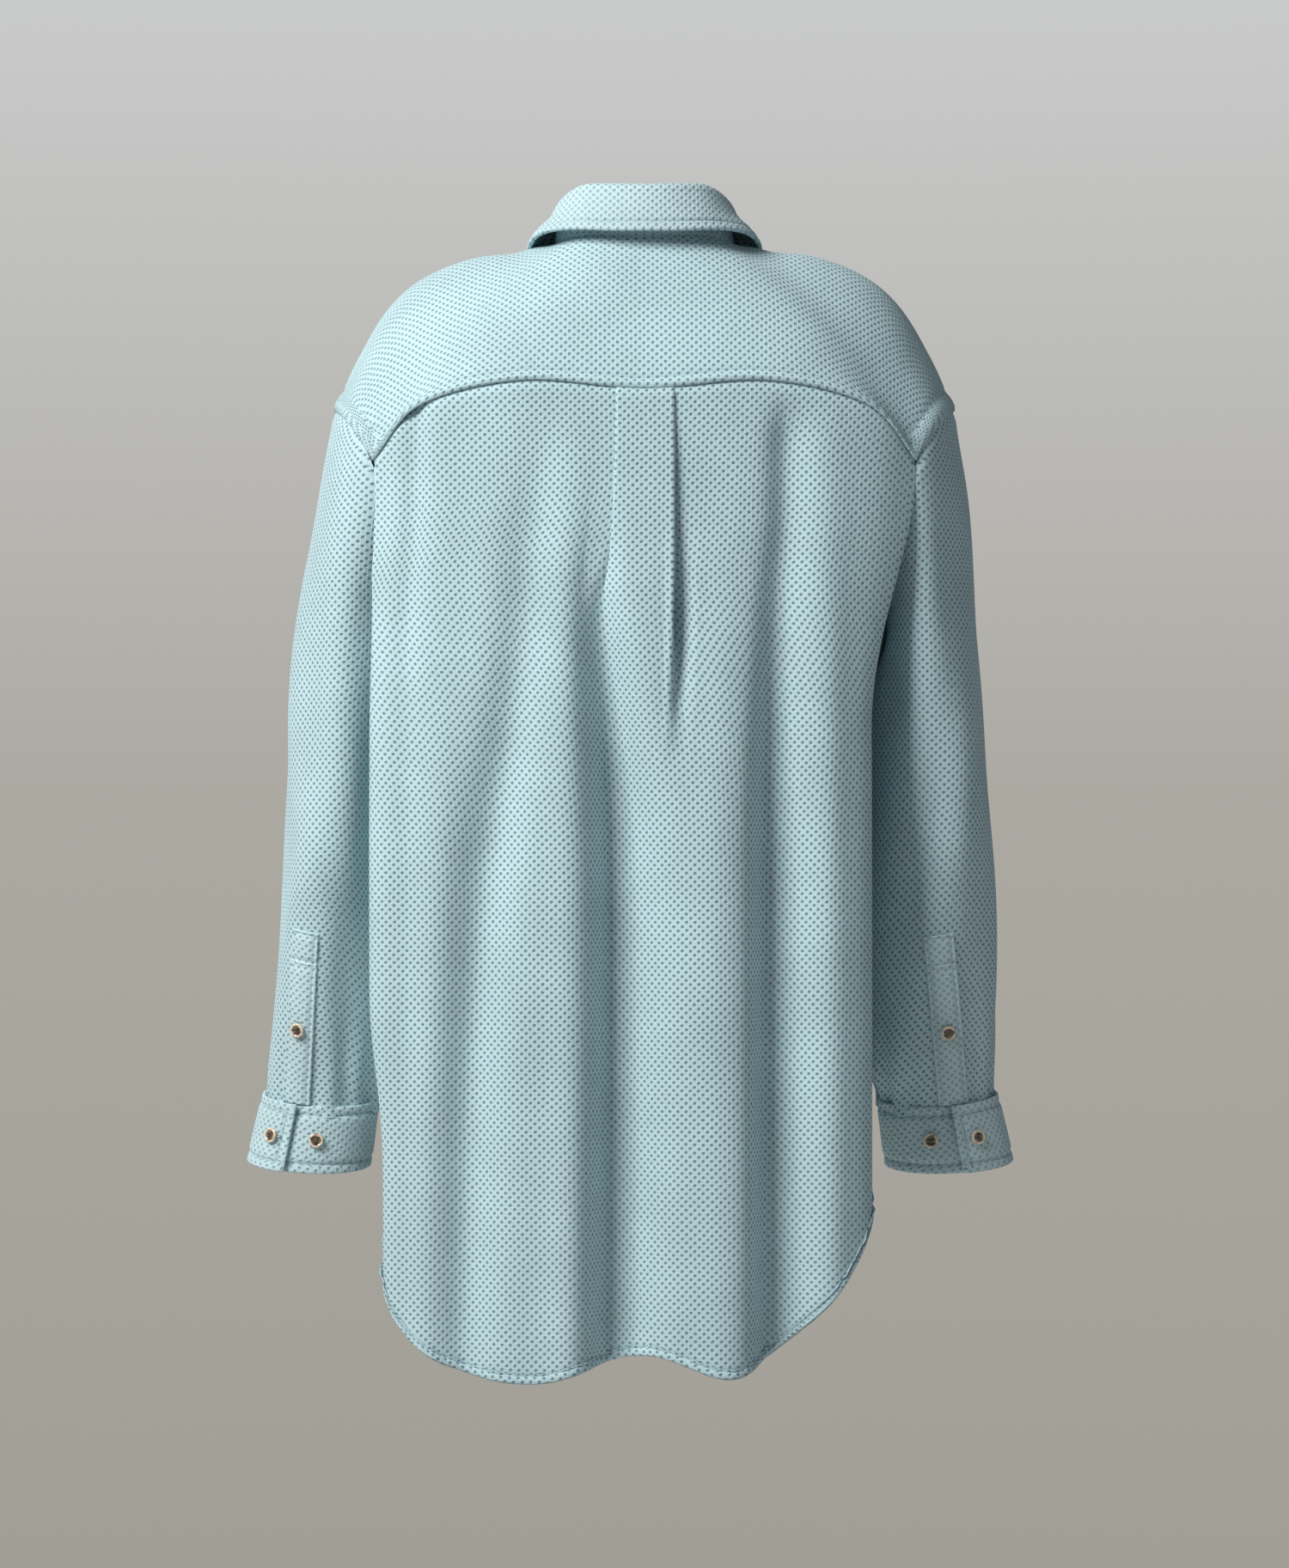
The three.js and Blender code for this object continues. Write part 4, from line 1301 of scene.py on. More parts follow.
    def _pleated(self, points: Array, normals: Array) -> Array:
        """Lays the two edges of the box pleat over, as folded cloth."""
        marks = self.marks
        z = points[:, marks[4], 2]
        full = self.pleat_height * mix(0.5, 1.0, smooth((SEAM_Z - z) / 60))
        heights = (full * (1 - smooth((-185 - z) / 130)), full * (1 - smooth((-235 - z) / 190)))
        folds = (1 - smooth((-185 - z) / 110), 1 - smooth((-250 - z) / 150))
        across = unit(np.gradient(points, axis=1))
        columns = points.shape[1]
        lift, shift = np.zeros((len(z), columns)), np.zeros((len(z), columns))
        top = slice(marks[3], marks[6] + 1)
        shares = np.linspace(0, 1, marks[6] + 1 - marks[3])
        lift[:, top] = mix(heights[0][:, None], heights[1][:, None], shares)
        steps = (
            (2.0, 1.0), (0.4, 1.0), (-0.9, 0.95), (-1.5, 0.72), (-0.9, 0.5), (1.5, 0.46),
            (self.pleat_tuck - 1, 0.42), (self.pleat_tuck, 0.2), (self.pleat_tuck - 1, 0.0),
            (1.0, 0.0),
        )
        for mark, sense, high, folded in zip((marks[3], marks[6]), (1, -1), heights, folds):
            edge = points[:, mark]
            for k, (inwards, share) in enumerate(steps):
                column = mark + sense * (4 - k)
                own = ((points[:, column] - edge) * across[:, mark]).sum(-1)
                target = sense * inwards
                shift[:, column] = (target - own) * folded
                plain = smooth((own * sense + 5.0) / 9.0)
                lift[:, column] = high * mix(plain, share, folded)
        moved = points + across[:, marks[4]][:, None] * shift[..., None]
        return moved + normals * lift[..., None]

    def points(self) -> Array:
        """The back's grid of points."""
        us = even(sum(self.columns))
        near_hem = 1 - np.array(self.hem_rows) / BACK_LENGTH
        vs = np.concatenate([[0.0, 0.0025, 0.005, 0.0085], np.linspace(0.013, 0.973, 190), near_hem])
        u_grid, v_grid = self._shares(us, vs)
        u_grid = np.clip(u_grid, self.side_gap, 1 - self.side_gap)
        flat = PATTERN.back(u_grid.ravel(), v_grid.ravel()).reshape(*u_grid.shape, 3)
        normals = normals_of(flat, BACKWARD)
        from_middle = np.abs(u_grid - 0.5)
        sides = smooth((0.5 - from_middle) / 0.05)
        beyond = smooth((from_middle - 0.28) / 0.04)
        arms = beyond * (1 - smooth(v_grid / 0.12))
        behind = smooth((-flat[..., 1] - 48) / 34)
        depth = self._depth(flat[..., 0], flat[..., 2]) * sides * (1 - arms) * behind
        drawn = smooth((-560 - flat[..., 2]) / 130) * bell(u_grid - 0.16, 0.10)
        depth = depth + self.wing_draw * drawn
        points = flat - normals * depth[..., None]
        points = self._pleated(points, normals)
        tuck = 2.6 * (1 - smooth(v_grid * BACK_LENGTH / 7.0)) * (1 - beyond)
        points = points - normals * tuck[..., None]
        lumps = 1 + 0.25 * np.sin(u_grid * 310) + 0.15 * np.sin(u_grid * 171 + 1)
        relief = hem_relief((1 - v_grid) * BACK_LENGTH, lumps)
        return points + normals_of(points, BACKWARD) * relief[..., None]

    def build(self, wardrobe: Wardrobe) -> None:
        """Makes the back and its hem's stitches."""
        points = self.points()
        run = thread_line(points, normals_of(points, BACKWARD), -6, self.wall / 2 - 0.1)
        points = turned(points, BACKWARD, (Edge.BOTTOM,), self.hem_roll, self.hem_depth)
        Placement(nodes=("back_panel", "hem_back")).sew(
            "back_panel_cloth", points, BACKWARD, wardrobe.cloth, self.wall, Hold.HUNG,
            "yoke_outer_cloth", grain=DOWNWARD,
        )
        stitched("hem_back_stitches", [run], wardrobe.thread)


@dataclass
class Yoke:
    """The doubled yoke, with a corded welt over the back."""

    wall: float = 0.9
    columns: int = 260
    rows: int = 84
    welt: float = 1.3
    welt_rows: tuple[float, ...] = (9.0, 7.0, 5.5, 4.6, 4.0, 3.4, 2.6, 1.6, 0.7)
    slope_fill: tuple[float, float, float] = (9.0, 3.0, 5.0)
    facing_lift: float = -1.35
    smoothings: int = 260
    label_size: tuple[float, float] = (58.0, 26.0)
    label_drop: float = 9.0

    def _grid(self, trim: float, past: float) -> tuple[Array, Array]:
        """The yoke's grid.

        Args:
            trim: Where the cloth starts below the neck seam, in millimetres.
            past: How far it runs past the seam over the back.

        Returns:
            The points, and the rows' shares from the neck out.
        """
        near = np.array([*self.welt_rows, -past]) / YOKE_LENGTH
        vs = np.concatenate([np.linspace(trim / YOKE_LENGTH, 0.9, self.rows), 1 - near])
        us = even(self.columns)
        points = laid(PATTERN.yoke, us, np.clip(vs, 0, 1))
        beyond = np.maximum(vs - 1, 0) * YOKE_LENGTH
        down = unit(points[-1] - points[-3])
        points = points + down[None] * beyond[:, None, None]
        return points, vs

    def _eased(self, points: Array, vs: Array) -> Array:
        """Smooths the yoke over the shoulder blades and fills the shoulders' slope."""
        us = np.linspace(0, 1, points.shape[1])
        from_end = 0.5 - np.abs(us - 0.5)
        corner = bell(from_end - PATTERN.yoke_arm, 0.13)[None, :, None]
        inside = smooth(np.clip(1 - vs, 0, 1) / 0.16)[:, None, None]
        for _ in range(self.smoothings):
            near = (points[:, 2:] + points[:, :-2]) / 2
            share = (corner * inside)[:, 1:-1] * 0.5
            points = points.copy()
            points[:, 1:-1] = mix(points[:, 1:-1], near, share)
        neck, near, far = self.slope_fill
        run = neck * bell(vs - 0.07, 0.10) + near * bell(vs - 0.28, 0.17)
        run = run + far * bell(vs - 0.72, 0.2) * smooth((1 - vs) / 0.1)
        fill = bell(from_end - 0.10, 0.085)[None] * run[:, None]
        return points + normals_of(points, YOKE_FACING) * fill[..., None]

    def build(self, wardrobe: Wardrobe) -> None:
        """Makes the outer yoke, its lining, its stitches and the neck label."""
        points, vs = self._grid(0.3, 1.6)
        points = self._eased(points, vs)
        normals = normals_of(points, YOKE_FACING)
        from_edge = (1 - vs) * YOKE_LENGTH
        puff = 1.5 * np.clip(np.sin(np.clip((from_edge + 1.6) / 5.4, 0, 1) * math.pi), 0, 1)
        groove = 0.7 * bell(from_edge - 4.3, 0.8)
        u = even(self.columns)
        slack = 1.1 * np.sin(u * 23 + 1) * np.sin(u * 9)
        slack = slack[None] * (np.sin(np.clip(vs, 0, 1) * math.pi) ** 2)[:, None]
        points = points + normals * ((puff - groove)[:, None] + slack)[..., None]
        run = thread_line(points, normals, -6, self.wall / 2 - 0.1)
        points = turned(points, YOKE_FACING, (Edge.BOTTOM,), self.welt, 4.0)
        points = turned(points, YOKE_FACING, (Edge.START, Edge.END), 0.9, 3.0)
        Placement(nodes=("yoke_outer",)).sew(
            "yoke_outer_cloth", points, YOKE_FACING, wardrobe.doubled, self.wall,
            Hold.STRETCHED, "collar_stand_outer_cloth", grain=WEARERS_RIGHT, across=True,
        )
        stitched("yoke_stitches", [run], wardrobe.thread)
        vs = np.linspace(1.2 / YOKE_LENGTH, 0.985, 50)
        points = self._eased(laid(PATTERN.yoke, np.linspace(0.004, 0.996, 161), vs), vs)
        points = points + normals_of(points, YOKE_FACING) * self.facing_lift
        Placement(slot=Slot.FACING, nodes=("yoke_lining",)).sew(
            "yoke_lining_cloth", points, YOKE_FACING, wardrobe.facing, 0.6, Hold.STRETCHED,
            "yoke_outer_cloth", grain=WEARERS_RIGHT, across=True,
        )
        self._label(wardrobe)

    def _label(self, wardrobe: Wardrobe) -> None:
        """Makes the blank label inside the neck, with its ends turned under."""
        width, height = self.label_size
        sample = PATTERN.yoke(np.array([0.49, 0.51]), np.array([0.15, 0.15]))
        half = width / 2 / (float(np.linalg.norm(sample[1] - sample[0])) / 0.02)
        sample = PATTERN.yoke(np.array([0.5, 0.5]), np.array([0.15, 0.2]))
        length = float(np.linalg.norm(sample[1] - sample[0])) / 0.05
        vs = np.linspace(self.label_drop / length, (self.label_drop + height) / length, 15)
        points = laid(PATTERN.yoke, np.linspace(0.5 - half, 0.5 + half, 29), vs)
        outside = normals_of(points, BACKWARD)
        bow = 0.35 * np.sin(np.linspace(0, math.pi, 29))[None, :, None]
        points = points + outside * (3 * self.facing_lift + 0.6 + bow)
        inside = tuple(-part for part in BACKWARD)
        points = turned(points, inside, (Edge.START, Edge.END), 0.3, 2.5)
        Placement(slot=Slot.SATIN, nodes=("neck_label",)).sew(
            "neck_label_tape", points, inside, wardrobe.satin, 0.22, Hold.FOLDED,
            "yoke_lining_cloth",
        )


@dataclass
class FrontPanels:
    """The two fronts with their hems, the button band and the care label."""

    wall: float = 0.7
    hem_roll: float = 1.25
    hem_depth: float = 6.0
    hem_rows: tuple[float, ...] = (14, 10, 7.5, 6.6, 6.0, 5.4, 4, 2.5, 1.2, 0)

    def _panel(self, side: Side, wardrobe: Wardrobe) -> None:
        """Makes one front."""
        near_hem = 1 - np.array(self.hem_rows) / FRONT_LENGTH
        vs = np.concatenate([np.linspace(0.0015, 0.974, 150), near_hem])
        us = np.concatenate([np.linspace(0.001, 0.6, 70), np.linspace(0.606, 0.9985, 56)])
        flat = laid(PATTERN.front(side), us, vs)
        normals = normals_of(flat, FORWARD)
        x, z = np.abs(flat[..., 0]), flat[..., 2]
        low = smooth((-180 - z) / 330)
        inner = smooth((x - 22) / 22) * smooth((1 - us[None]) / 0.07)
        inner = inner * smooth((vs[:, None] - 0.12) / 0.2)
        depth = mix(2.0, 11.0, low) * bell(x - mix(84, 96, low), mix(18, 24, low))
        depth = depth + mix(1.0, 8.0, low) * bell(x - mix(132, 142, low), 14)
        depth = depth - mix(1.0, 4.0, low) * bell(x - 60, 16)
        depth = depth + 0.7 * np.sin(x / 11.0 + z / 120.0 + side.sign)
        points = flat - normals * (depth * inner)[..., None]
        normals = normals_of(points, FORWARD)
        points = points + normals * hem_relief((1 - vs[:, None]) * FRONT_LENGTH)[..., None]
        run = thread_line(points, normals, -6, self.wall / 2 - 0.1)
        points = turned(points, FORWARD, (Edge.BOTTOM,), self.hem_roll, self.hem_depth)
        Placement(nodes=(f"front_panel_{side.value}", f"hem_front_{side.value}")).sew(
            f"front_panel_{side.value}_cloth", points, FORWARD, wardrobe.cloth, self.wall,
            Hold.HUNG, "yoke_outer_cloth", grain=DOWNWARD,
        )
        stitched(f"hem_front_{side.value}_stitches", [run], wardrobe.thread)

    def _band(self, wardrobe: Wardrobe) -> None:
        """Makes the two layers of the button band and their stitches."""
        us, vs = even(20), np.linspace(0.002, 1.0, 151)
        flat = laid(PATTERN.band, us, vs)
        normals = normals_of(flat, FORWARD)
        for name, lift, material, slot, nodes in (
            ("front_band_top", 1.1, wardrobe.fused, Slot.CLOTH,
             ("front_band_top", "front_band_interfacing")),
            ("front_band_under", -1.1, wardrobe.facing, Slot.FACING, ("front_band_under",)),
        ):
            groove = 0.35 * (bell((us - 0.15) * 34, 1.2) + bell((us - 0.85) * 34, 1.2))
            points = flat + normals * (lift - groove[None, :, None] * np.sign(lift))
            faces = FORWARD if lift > 0 else BACKWARD
            points = turned(points, faces, (Edge.START, Edge.END, Edge.BOTTOM), 0.5, 5.0)
            Placement(Body.TORSO, slot, nodes).sew(
                f"{name}_cloth", points, faces, material, 0.6, Hold.HUNG,
                "collar_stand_outer_cloth", grain=DOWNWARD,
            )
        runs = []
        for u in (0.15, 0.85):
            line = laid(PATTERN.band, np.array([u - 0.02, u, u + 0.02]), vs)
            runs.append(thread_line(line, normals_of(line, FORWARD), np.s_[:, 1], 1.25))
        stitched("front_band_stitches", runs, wardrobe.thread)

    def _care_label(self, wardrobe: Wardrobe) -> None:
        """Makes the blank care label that hangs in the left side seam."""
        low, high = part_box("care_label")
        middle = (low + high) / 2 / METRES
        height = (high.z - low.z) / METRES
        turn = math.atan2(high.y - low.y, high.x - low.x)
        us, vs = np.linspace(-12, 12, 13), np.linspace(0.5, -0.5, 25)
        u, v = np.meshgrid(us, vs * height)
        curl = 0.6 * np.sin(v / 9.0)
        points = stacked(
            middle.x + u * math.cos(turn), middle.y - u * math.sin(turn) + curl, middle.z + v
        )
        points = turned(points, FORWARD, (Edge.TOP, Edge.BOTTOM), 0.3, 3.0)
        Placement(slot=Slot.SATIN, nodes=("care_label",)).sew(
            "care_label_tape", points, FORWARD, wardrobe.satin, 0.22, Hold.HUNG,
            "back_panel_cloth",
        )

    def build(self, wardrobe: Wardrobe) -> None:
        """Makes both fronts, the band and the label."""
        for side in Side:
            self._panel(side, wardrobe)
        self._band(wardrobe)
        self._care_label(wardrobe)


@dataclass
class Collar:
    """The collar: a stand round the neck and a leaf folded over it."""

    stitch_in: float = 8.0
    side_slope: float = 9.0
    stand_reach: float = 1.14
    settled: float = 5.0
    side_rise: float = 5.0
    columns: int = 200
    leaf_length: float = 400.0

    def _layer(self, name: str, surface: Surface, lift: float, us: Array, vs: Array,
               material: bpy.types.Material, placement: Placement, hold: Hold,
               edges: Sequence[Edge], grooves: Callable[[Array, Array], Array] | None = None,
               rise: float = 0.0) -> Array:
        """Makes one layer of the collar.

        Args:
            name: The piece's name.
            surface: What it lies on.
            lift: How far off the surface, outwards.
            us: Shares along the collar.
            vs: Shares down it.
            material: Its finish.
            placement: What it rides on and stands for.
            hold: How it is held.
            edges: The edges that are turned.
            grooves: How deep the stitches draw it in.
            rise: How far its lower edge rises over the shoulders.

        Returns:
            The layer's grid before its edges are turned.
        """
        flat = laid(surface, us, vs)
        beside = smooth((np.abs(flat[..., 0]) - 40) / 36) * smooth((flat[..., 2] - 5) / 30)
        behind = smooth((45 - flat[..., 1]) / 60)
        outer = smooth((np.abs(flat[..., 0]) - 15) / 85) * np.clip(2 * vs - 1, 0, 1)[:, None]
        down = self.side_slope * beside + behind * (self.settled - rise * outer)
        flat = flat - stacked(0 * down, 0 * down, down)
        normals = normals_of(flat, BACKWARD)
        sunk = grooves(us[None], vs[:, None]) if grooves else np.zeros((1, 1))
        points = flat + normals * (lift - sunk * math.copysign(1.0, lift))[..., None]
        faces = BACKWARD if lift > 0 else FORWARD
        sheet = turned(points, faces, edges, 0.9, 3.0)
        placement.sew(name, sheet, faces, material, 0.8, hold, "yoke_outer_cloth")
        return points

    def build(self, wardrobe: Wardrobe) -> None:
        """Makes the stand's and the leaf's layers and their stitches."""
        us = even(self.columns)
        stand_vs = even(18) * self.stand_reach
        for name, lift, material, slot, nodes in (
            ("collar_stand_outer", 1.1, wardrobe.fused, Slot.CLOTH,
             ("collar_stand_outer", "collar_stand_interfacing")),
            ("collar_stand_inner", -1.1, wardrobe.facing, Slot.FACING, ("collar_stand_inner",)),
        ):
            self._layer(f"{name}_cloth", PATTERN.stand, lift, us, stand_vs, material,
                        Placement(Body.TORSO, slot, nodes), Hold.STRETCHED,
                        (Edge.TOP, Edge.BOTTOM, Edge.START, Edge.END))
        leaf_vs = np.concatenate([np.linspace(0, 0.5, 16), np.linspace(0.53, 0.86, 14),
                                  np.linspace(0.875, 1.0, 12)])
        fall = PATTERN.stand_height

        def grooves(u: Array, v: Array) -> Array:
            """The groove of the edge stitching and the fullness outside it."""
            from_edge = np.maximum(1 - v, 0) * 2 * fall
            along = np.minimum(u, 1 - u) * self.leaf_length
            nearest = np.minimum(from_edge, along)
            inside = bell(nearest - self.stitch_in, 1.0)
            return 1.4 * inside - 0.6 * smooth((self.stitch_in - nearest) / 2)

        upper = self._layer("collar_leaf_upper_cloth", PATTERN.leaf, 1.1, us, leaf_vs,
                            wardrobe.fused,
                            Placement(Body.TORSO, Slot.CLOTH,
                                      ("collar_leaf_upper", "collar_leaf_interfacing")),
                            Hold.FOLDED, (Edge.BOTTOM, Edge.START, Edge.END), grooves,
                            rise=self.side_rise)
        self._layer("collar_leaf_under_cloth", PATTERN.leaf, -1.1, us, leaf_vs, wardrobe.facing,
                    Placement(Body.TORSO, Slot.FACING, ("collar_leaf_under",)),
                    Hold.FOLDED, (Edge.BOTTOM, Edge.START, Edge.END), rise=self.side_rise)
        normals = normals_of(upper, BACKWARD)
        row = int(np.argmin(np.abs((1 - leaf_vs) * 2 * fall - self.stitch_in)))
        column = int(round(self.stitch_in / self.leaf_length * self.columns))
        fold = 18
        places = (np.s_[row, column:-column], np.s_[fold:row, column], np.s_[fold:row, -column])
        runs = [thread_line(upper, normals, place, 0.35) for place in places]
        stitched("collar_stitches", runs, wardrobe.thread)


@dataclass
class Sleeve:
    """One sleeve: the cloth tube, its tower placket and its cuff."""

    cut: SleeveCut
    around: int = 132
    rows: int = 190
    wall: float = 0.7
    bend_from: float = 259.0
    bend_over: float = 88.0
    bend_turn: float = 73.0
    inner_fullness: float = 0.0
    length: float = 510.0
    stitch_in: float = 2.6
    bars: tuple[float, ...] = (2.6, 22.5, 27.5)

    @property
    def body(self) -> Body:
        """The frame's body of this sleeve."""
        return Body.sleeve(self.cut.side)

    def _tube(self, wardrobe: Wardrobe) -> None:
        """Makes the sleeve's cloth tube."""
        cut, sign = self.cut, self.cut.sign
        vs = np.concatenate([[0.0, 0.004, 0.008, 0.013], np.linspace(0.018, 0.985, self.rows),
                             [0.993, 1.0]])
        turns = 360 * even(self.around) - 180
        flat = laid(lambda u, v: cut.at(PATTERN, 360 * u - 180, v), even(self.around), vs)
        outward = (float(sign), 0.0, 0.0)
        normals = normals_of(flat, outward, closed=True)
        degrees = np.radians(turns)[None]
        v = vs[:, None]
        tuck = 1.7 * (1 - smooth(v * self.length / 9.0))
        cap = bell(v - 0.10, 0.07)
        slack = smooth((v - 0.03) / 0.2)
        folds = 2.6 * np.sin(3 * degrees + 7 * v + sign) * slack * smooth((1 - v) / 0.1)
        folds = folds + 1.4 * np.sin(5 * degrees - 11 * v + 2 * sign) * slack
        folds = folds + 1.8 * cap * np.cos(degrees)
        gathers = 1.6 * np.cos(11 * degrees) * smooth((v - 0.84) / 0.14)
        near_slit = bell(np.degrees(degrees) - mix(cut.tower_top, cut.tower_bottom, 0.5), 34.0)
        calm = 1 - near_slit * smooth((v - 0.66) / 0.08)
        points = flat + normals * ((folds + gathers) * calm - tuck)[..., None]
        from_inner = np.minimum(np.abs(np.degrees(degrees) - 185), np.abs(np.degrees(degrees) + 175))
        full = self.inner_fullness * bell(from_inner, 52)
        full = full * smooth((v - 0.01) / 0.05) * smooth((1.0 - v) / 0.05)
        points = points + normals * full[..., None]
        inside = points[-1] + np.array([0.0, 0.0, -1.0]) * np.array([3.0, 6.0, 9.0])[:, None, None]
        points = np.concatenate([points, inside])
        points[:, -1] = points[:, 0]
        name = f"sleeve_{cut.side.value}"
        piece = sewn(f"{name}_cloth", points, outward, wardrobe.cloth, self.wall, DOWNWARD,
                     closed=True)
        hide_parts(name)
        self.body.value
        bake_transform(piece)
        LOG.info("%s: %d faces between torso and sleeve", piece.name, len(piece.data.polygons))
        declared(piece, points)

    def _placket(self, wardrobe: Wardrobe) -> None:
        """Makes the tower placket's upper and under strips and their stitches."""
        cut = self.cut
        us, vs = even(22), even(65)
        flat = laid(cut.strip(PATTERN, cut.tower_width), us, vs)
        normals = normals_of(flat, BACKWARD)
        u, v = us[None], vs[:, None]
        down = v * cut.tower_length
        edge = np.minimum(u, 1 - u) * cut.tower_width
        groove = 0.9 * bell(edge - self.stitch_in, 0.9)
        for drop in self.bars:
            groove = np.maximum(groove, 1.4 * bell(down - drop, 1.3))
        rise = 0.5 * smooth((edge - self.stitch_in) / 4)
        points = flat + normals * (2.35 + rise - groove)[..., None]
        runs = []
        inset = self.stitch_in / cut.tower_width
        for share in (inset, 1 - inset):
            runs.append(thread_line(points, normals, np.s_[1:, int(round(share * 22))], 0.4))
        for drop in self.bars:
            row = int(np.argmin(np.abs(down[:, 0] - drop)))
            runs.append(thread_line(points, normals, np.s_[row, 3:-3], 0.4))
        sheet = turned(points, BACKWARD, (Edge.TOP, Edge.START, Edge.END), 0.7, 3.0)
        name = f"sleeve_placket_{cut.side.value}"
        rests_on = f"sleeve_{cut.side.value}_cloth"
        Placement(self.body, Slot.CLOTH, (f"{name}_upper",)).sew(
            f"{name}_upper_cloth", sheet, BACKWARD, wardrobe.fused, 0.8, Hold.HUNG, rests_on
        )
        stitched(f"{name}_stitches", runs, wardrobe.thread, self.body, Stitch(3.0, 2.3))
        flat = laid(cut.strip(PATTERN, 11.0, 2.0), even(10), even(50))
        normals = normals_of(flat, BACKWARD)
        sheet = turned(flat - normals * 2.35, BACKWARD, (Edge.START, Edge.END), 0.5, 2.5)
        Placement(self.body, Slot.FACING, (f"{name}_under",)).sew(
            f"{name}_under_cloth", sheet, BACKWARD, wardrobe.facing, 0.6, Hold.HUNG, rests_on
        )

    def _cuff(self, wardrobe: Wardrobe) -> None:
        """Makes the cuff's layers and their stitches."""
        cut = self.cut
        faces = (-float(cut.sign), 1.4, 0.0)
        us, vs = even(150), even(30)
        flat = laid(cut.cuff(PATTERN), us, vs)
        normals = normals_of(flat, faces)
        down = vs[:, None] * PATTERN.cuff_height
        ends = np.minimum(us, 1 - us)[None] * 330
        nearest = np.minimum(np.minimum(down, PATTERN.cuff_height - down), ends)
        groove = 1.35 * bell(nearest - 6.6, 1.3) - 0.45 * smooth((nearest - 7.5) / 3)
        runs: list[Run] = []
        for name, lift, material, slot, layers in (
            ("outer", 1.1, wardrobe.fused, Slot.CLOTH, ("outer", "interfacing")),
            ("inner", -1.1, wardrobe.facing, Slot.FACING, ("inner",)),
        ):
            points = flat + normals * (lift - groove * math.copysign(1, lift))[..., None]
            if lift > 0:
                places = (np.s_[4, 3:-3], np.s_[26, 3:-3], np.s_[4:27, 3])
                runs = [thread_line(points, normals, place, 0.4) for place in places]
            own = faces if lift > 0 else tuple(-part for part in faces)
            sheet = turned(points, own, (Edge.TOP, Edge.BOTTOM, Edge.START, Edge.END), 0.75, 3.0)
            nodes = tuple(f"cuff_{cut.side.value}_{layer}" for layer in layers)
            Placement(self.body, slot, nodes).sew(
                f"cuff_{cut.side.value}_{name}_cloth", sheet, own, material, 0.8, Hold.FOLDED,
                f"sleeve_{cut.side.value}_cloth",
            )
        stitched(f"cuff_{cut.side.value}_stitches", runs, wardrobe.thread, self.body)

    def build(self, wardrobe: Wardrobe) -> None:
        """Makes the sleeve."""
        self._tube(wardrobe)
        self._placket(wardrobe)
        self._cuff(wardrobe)


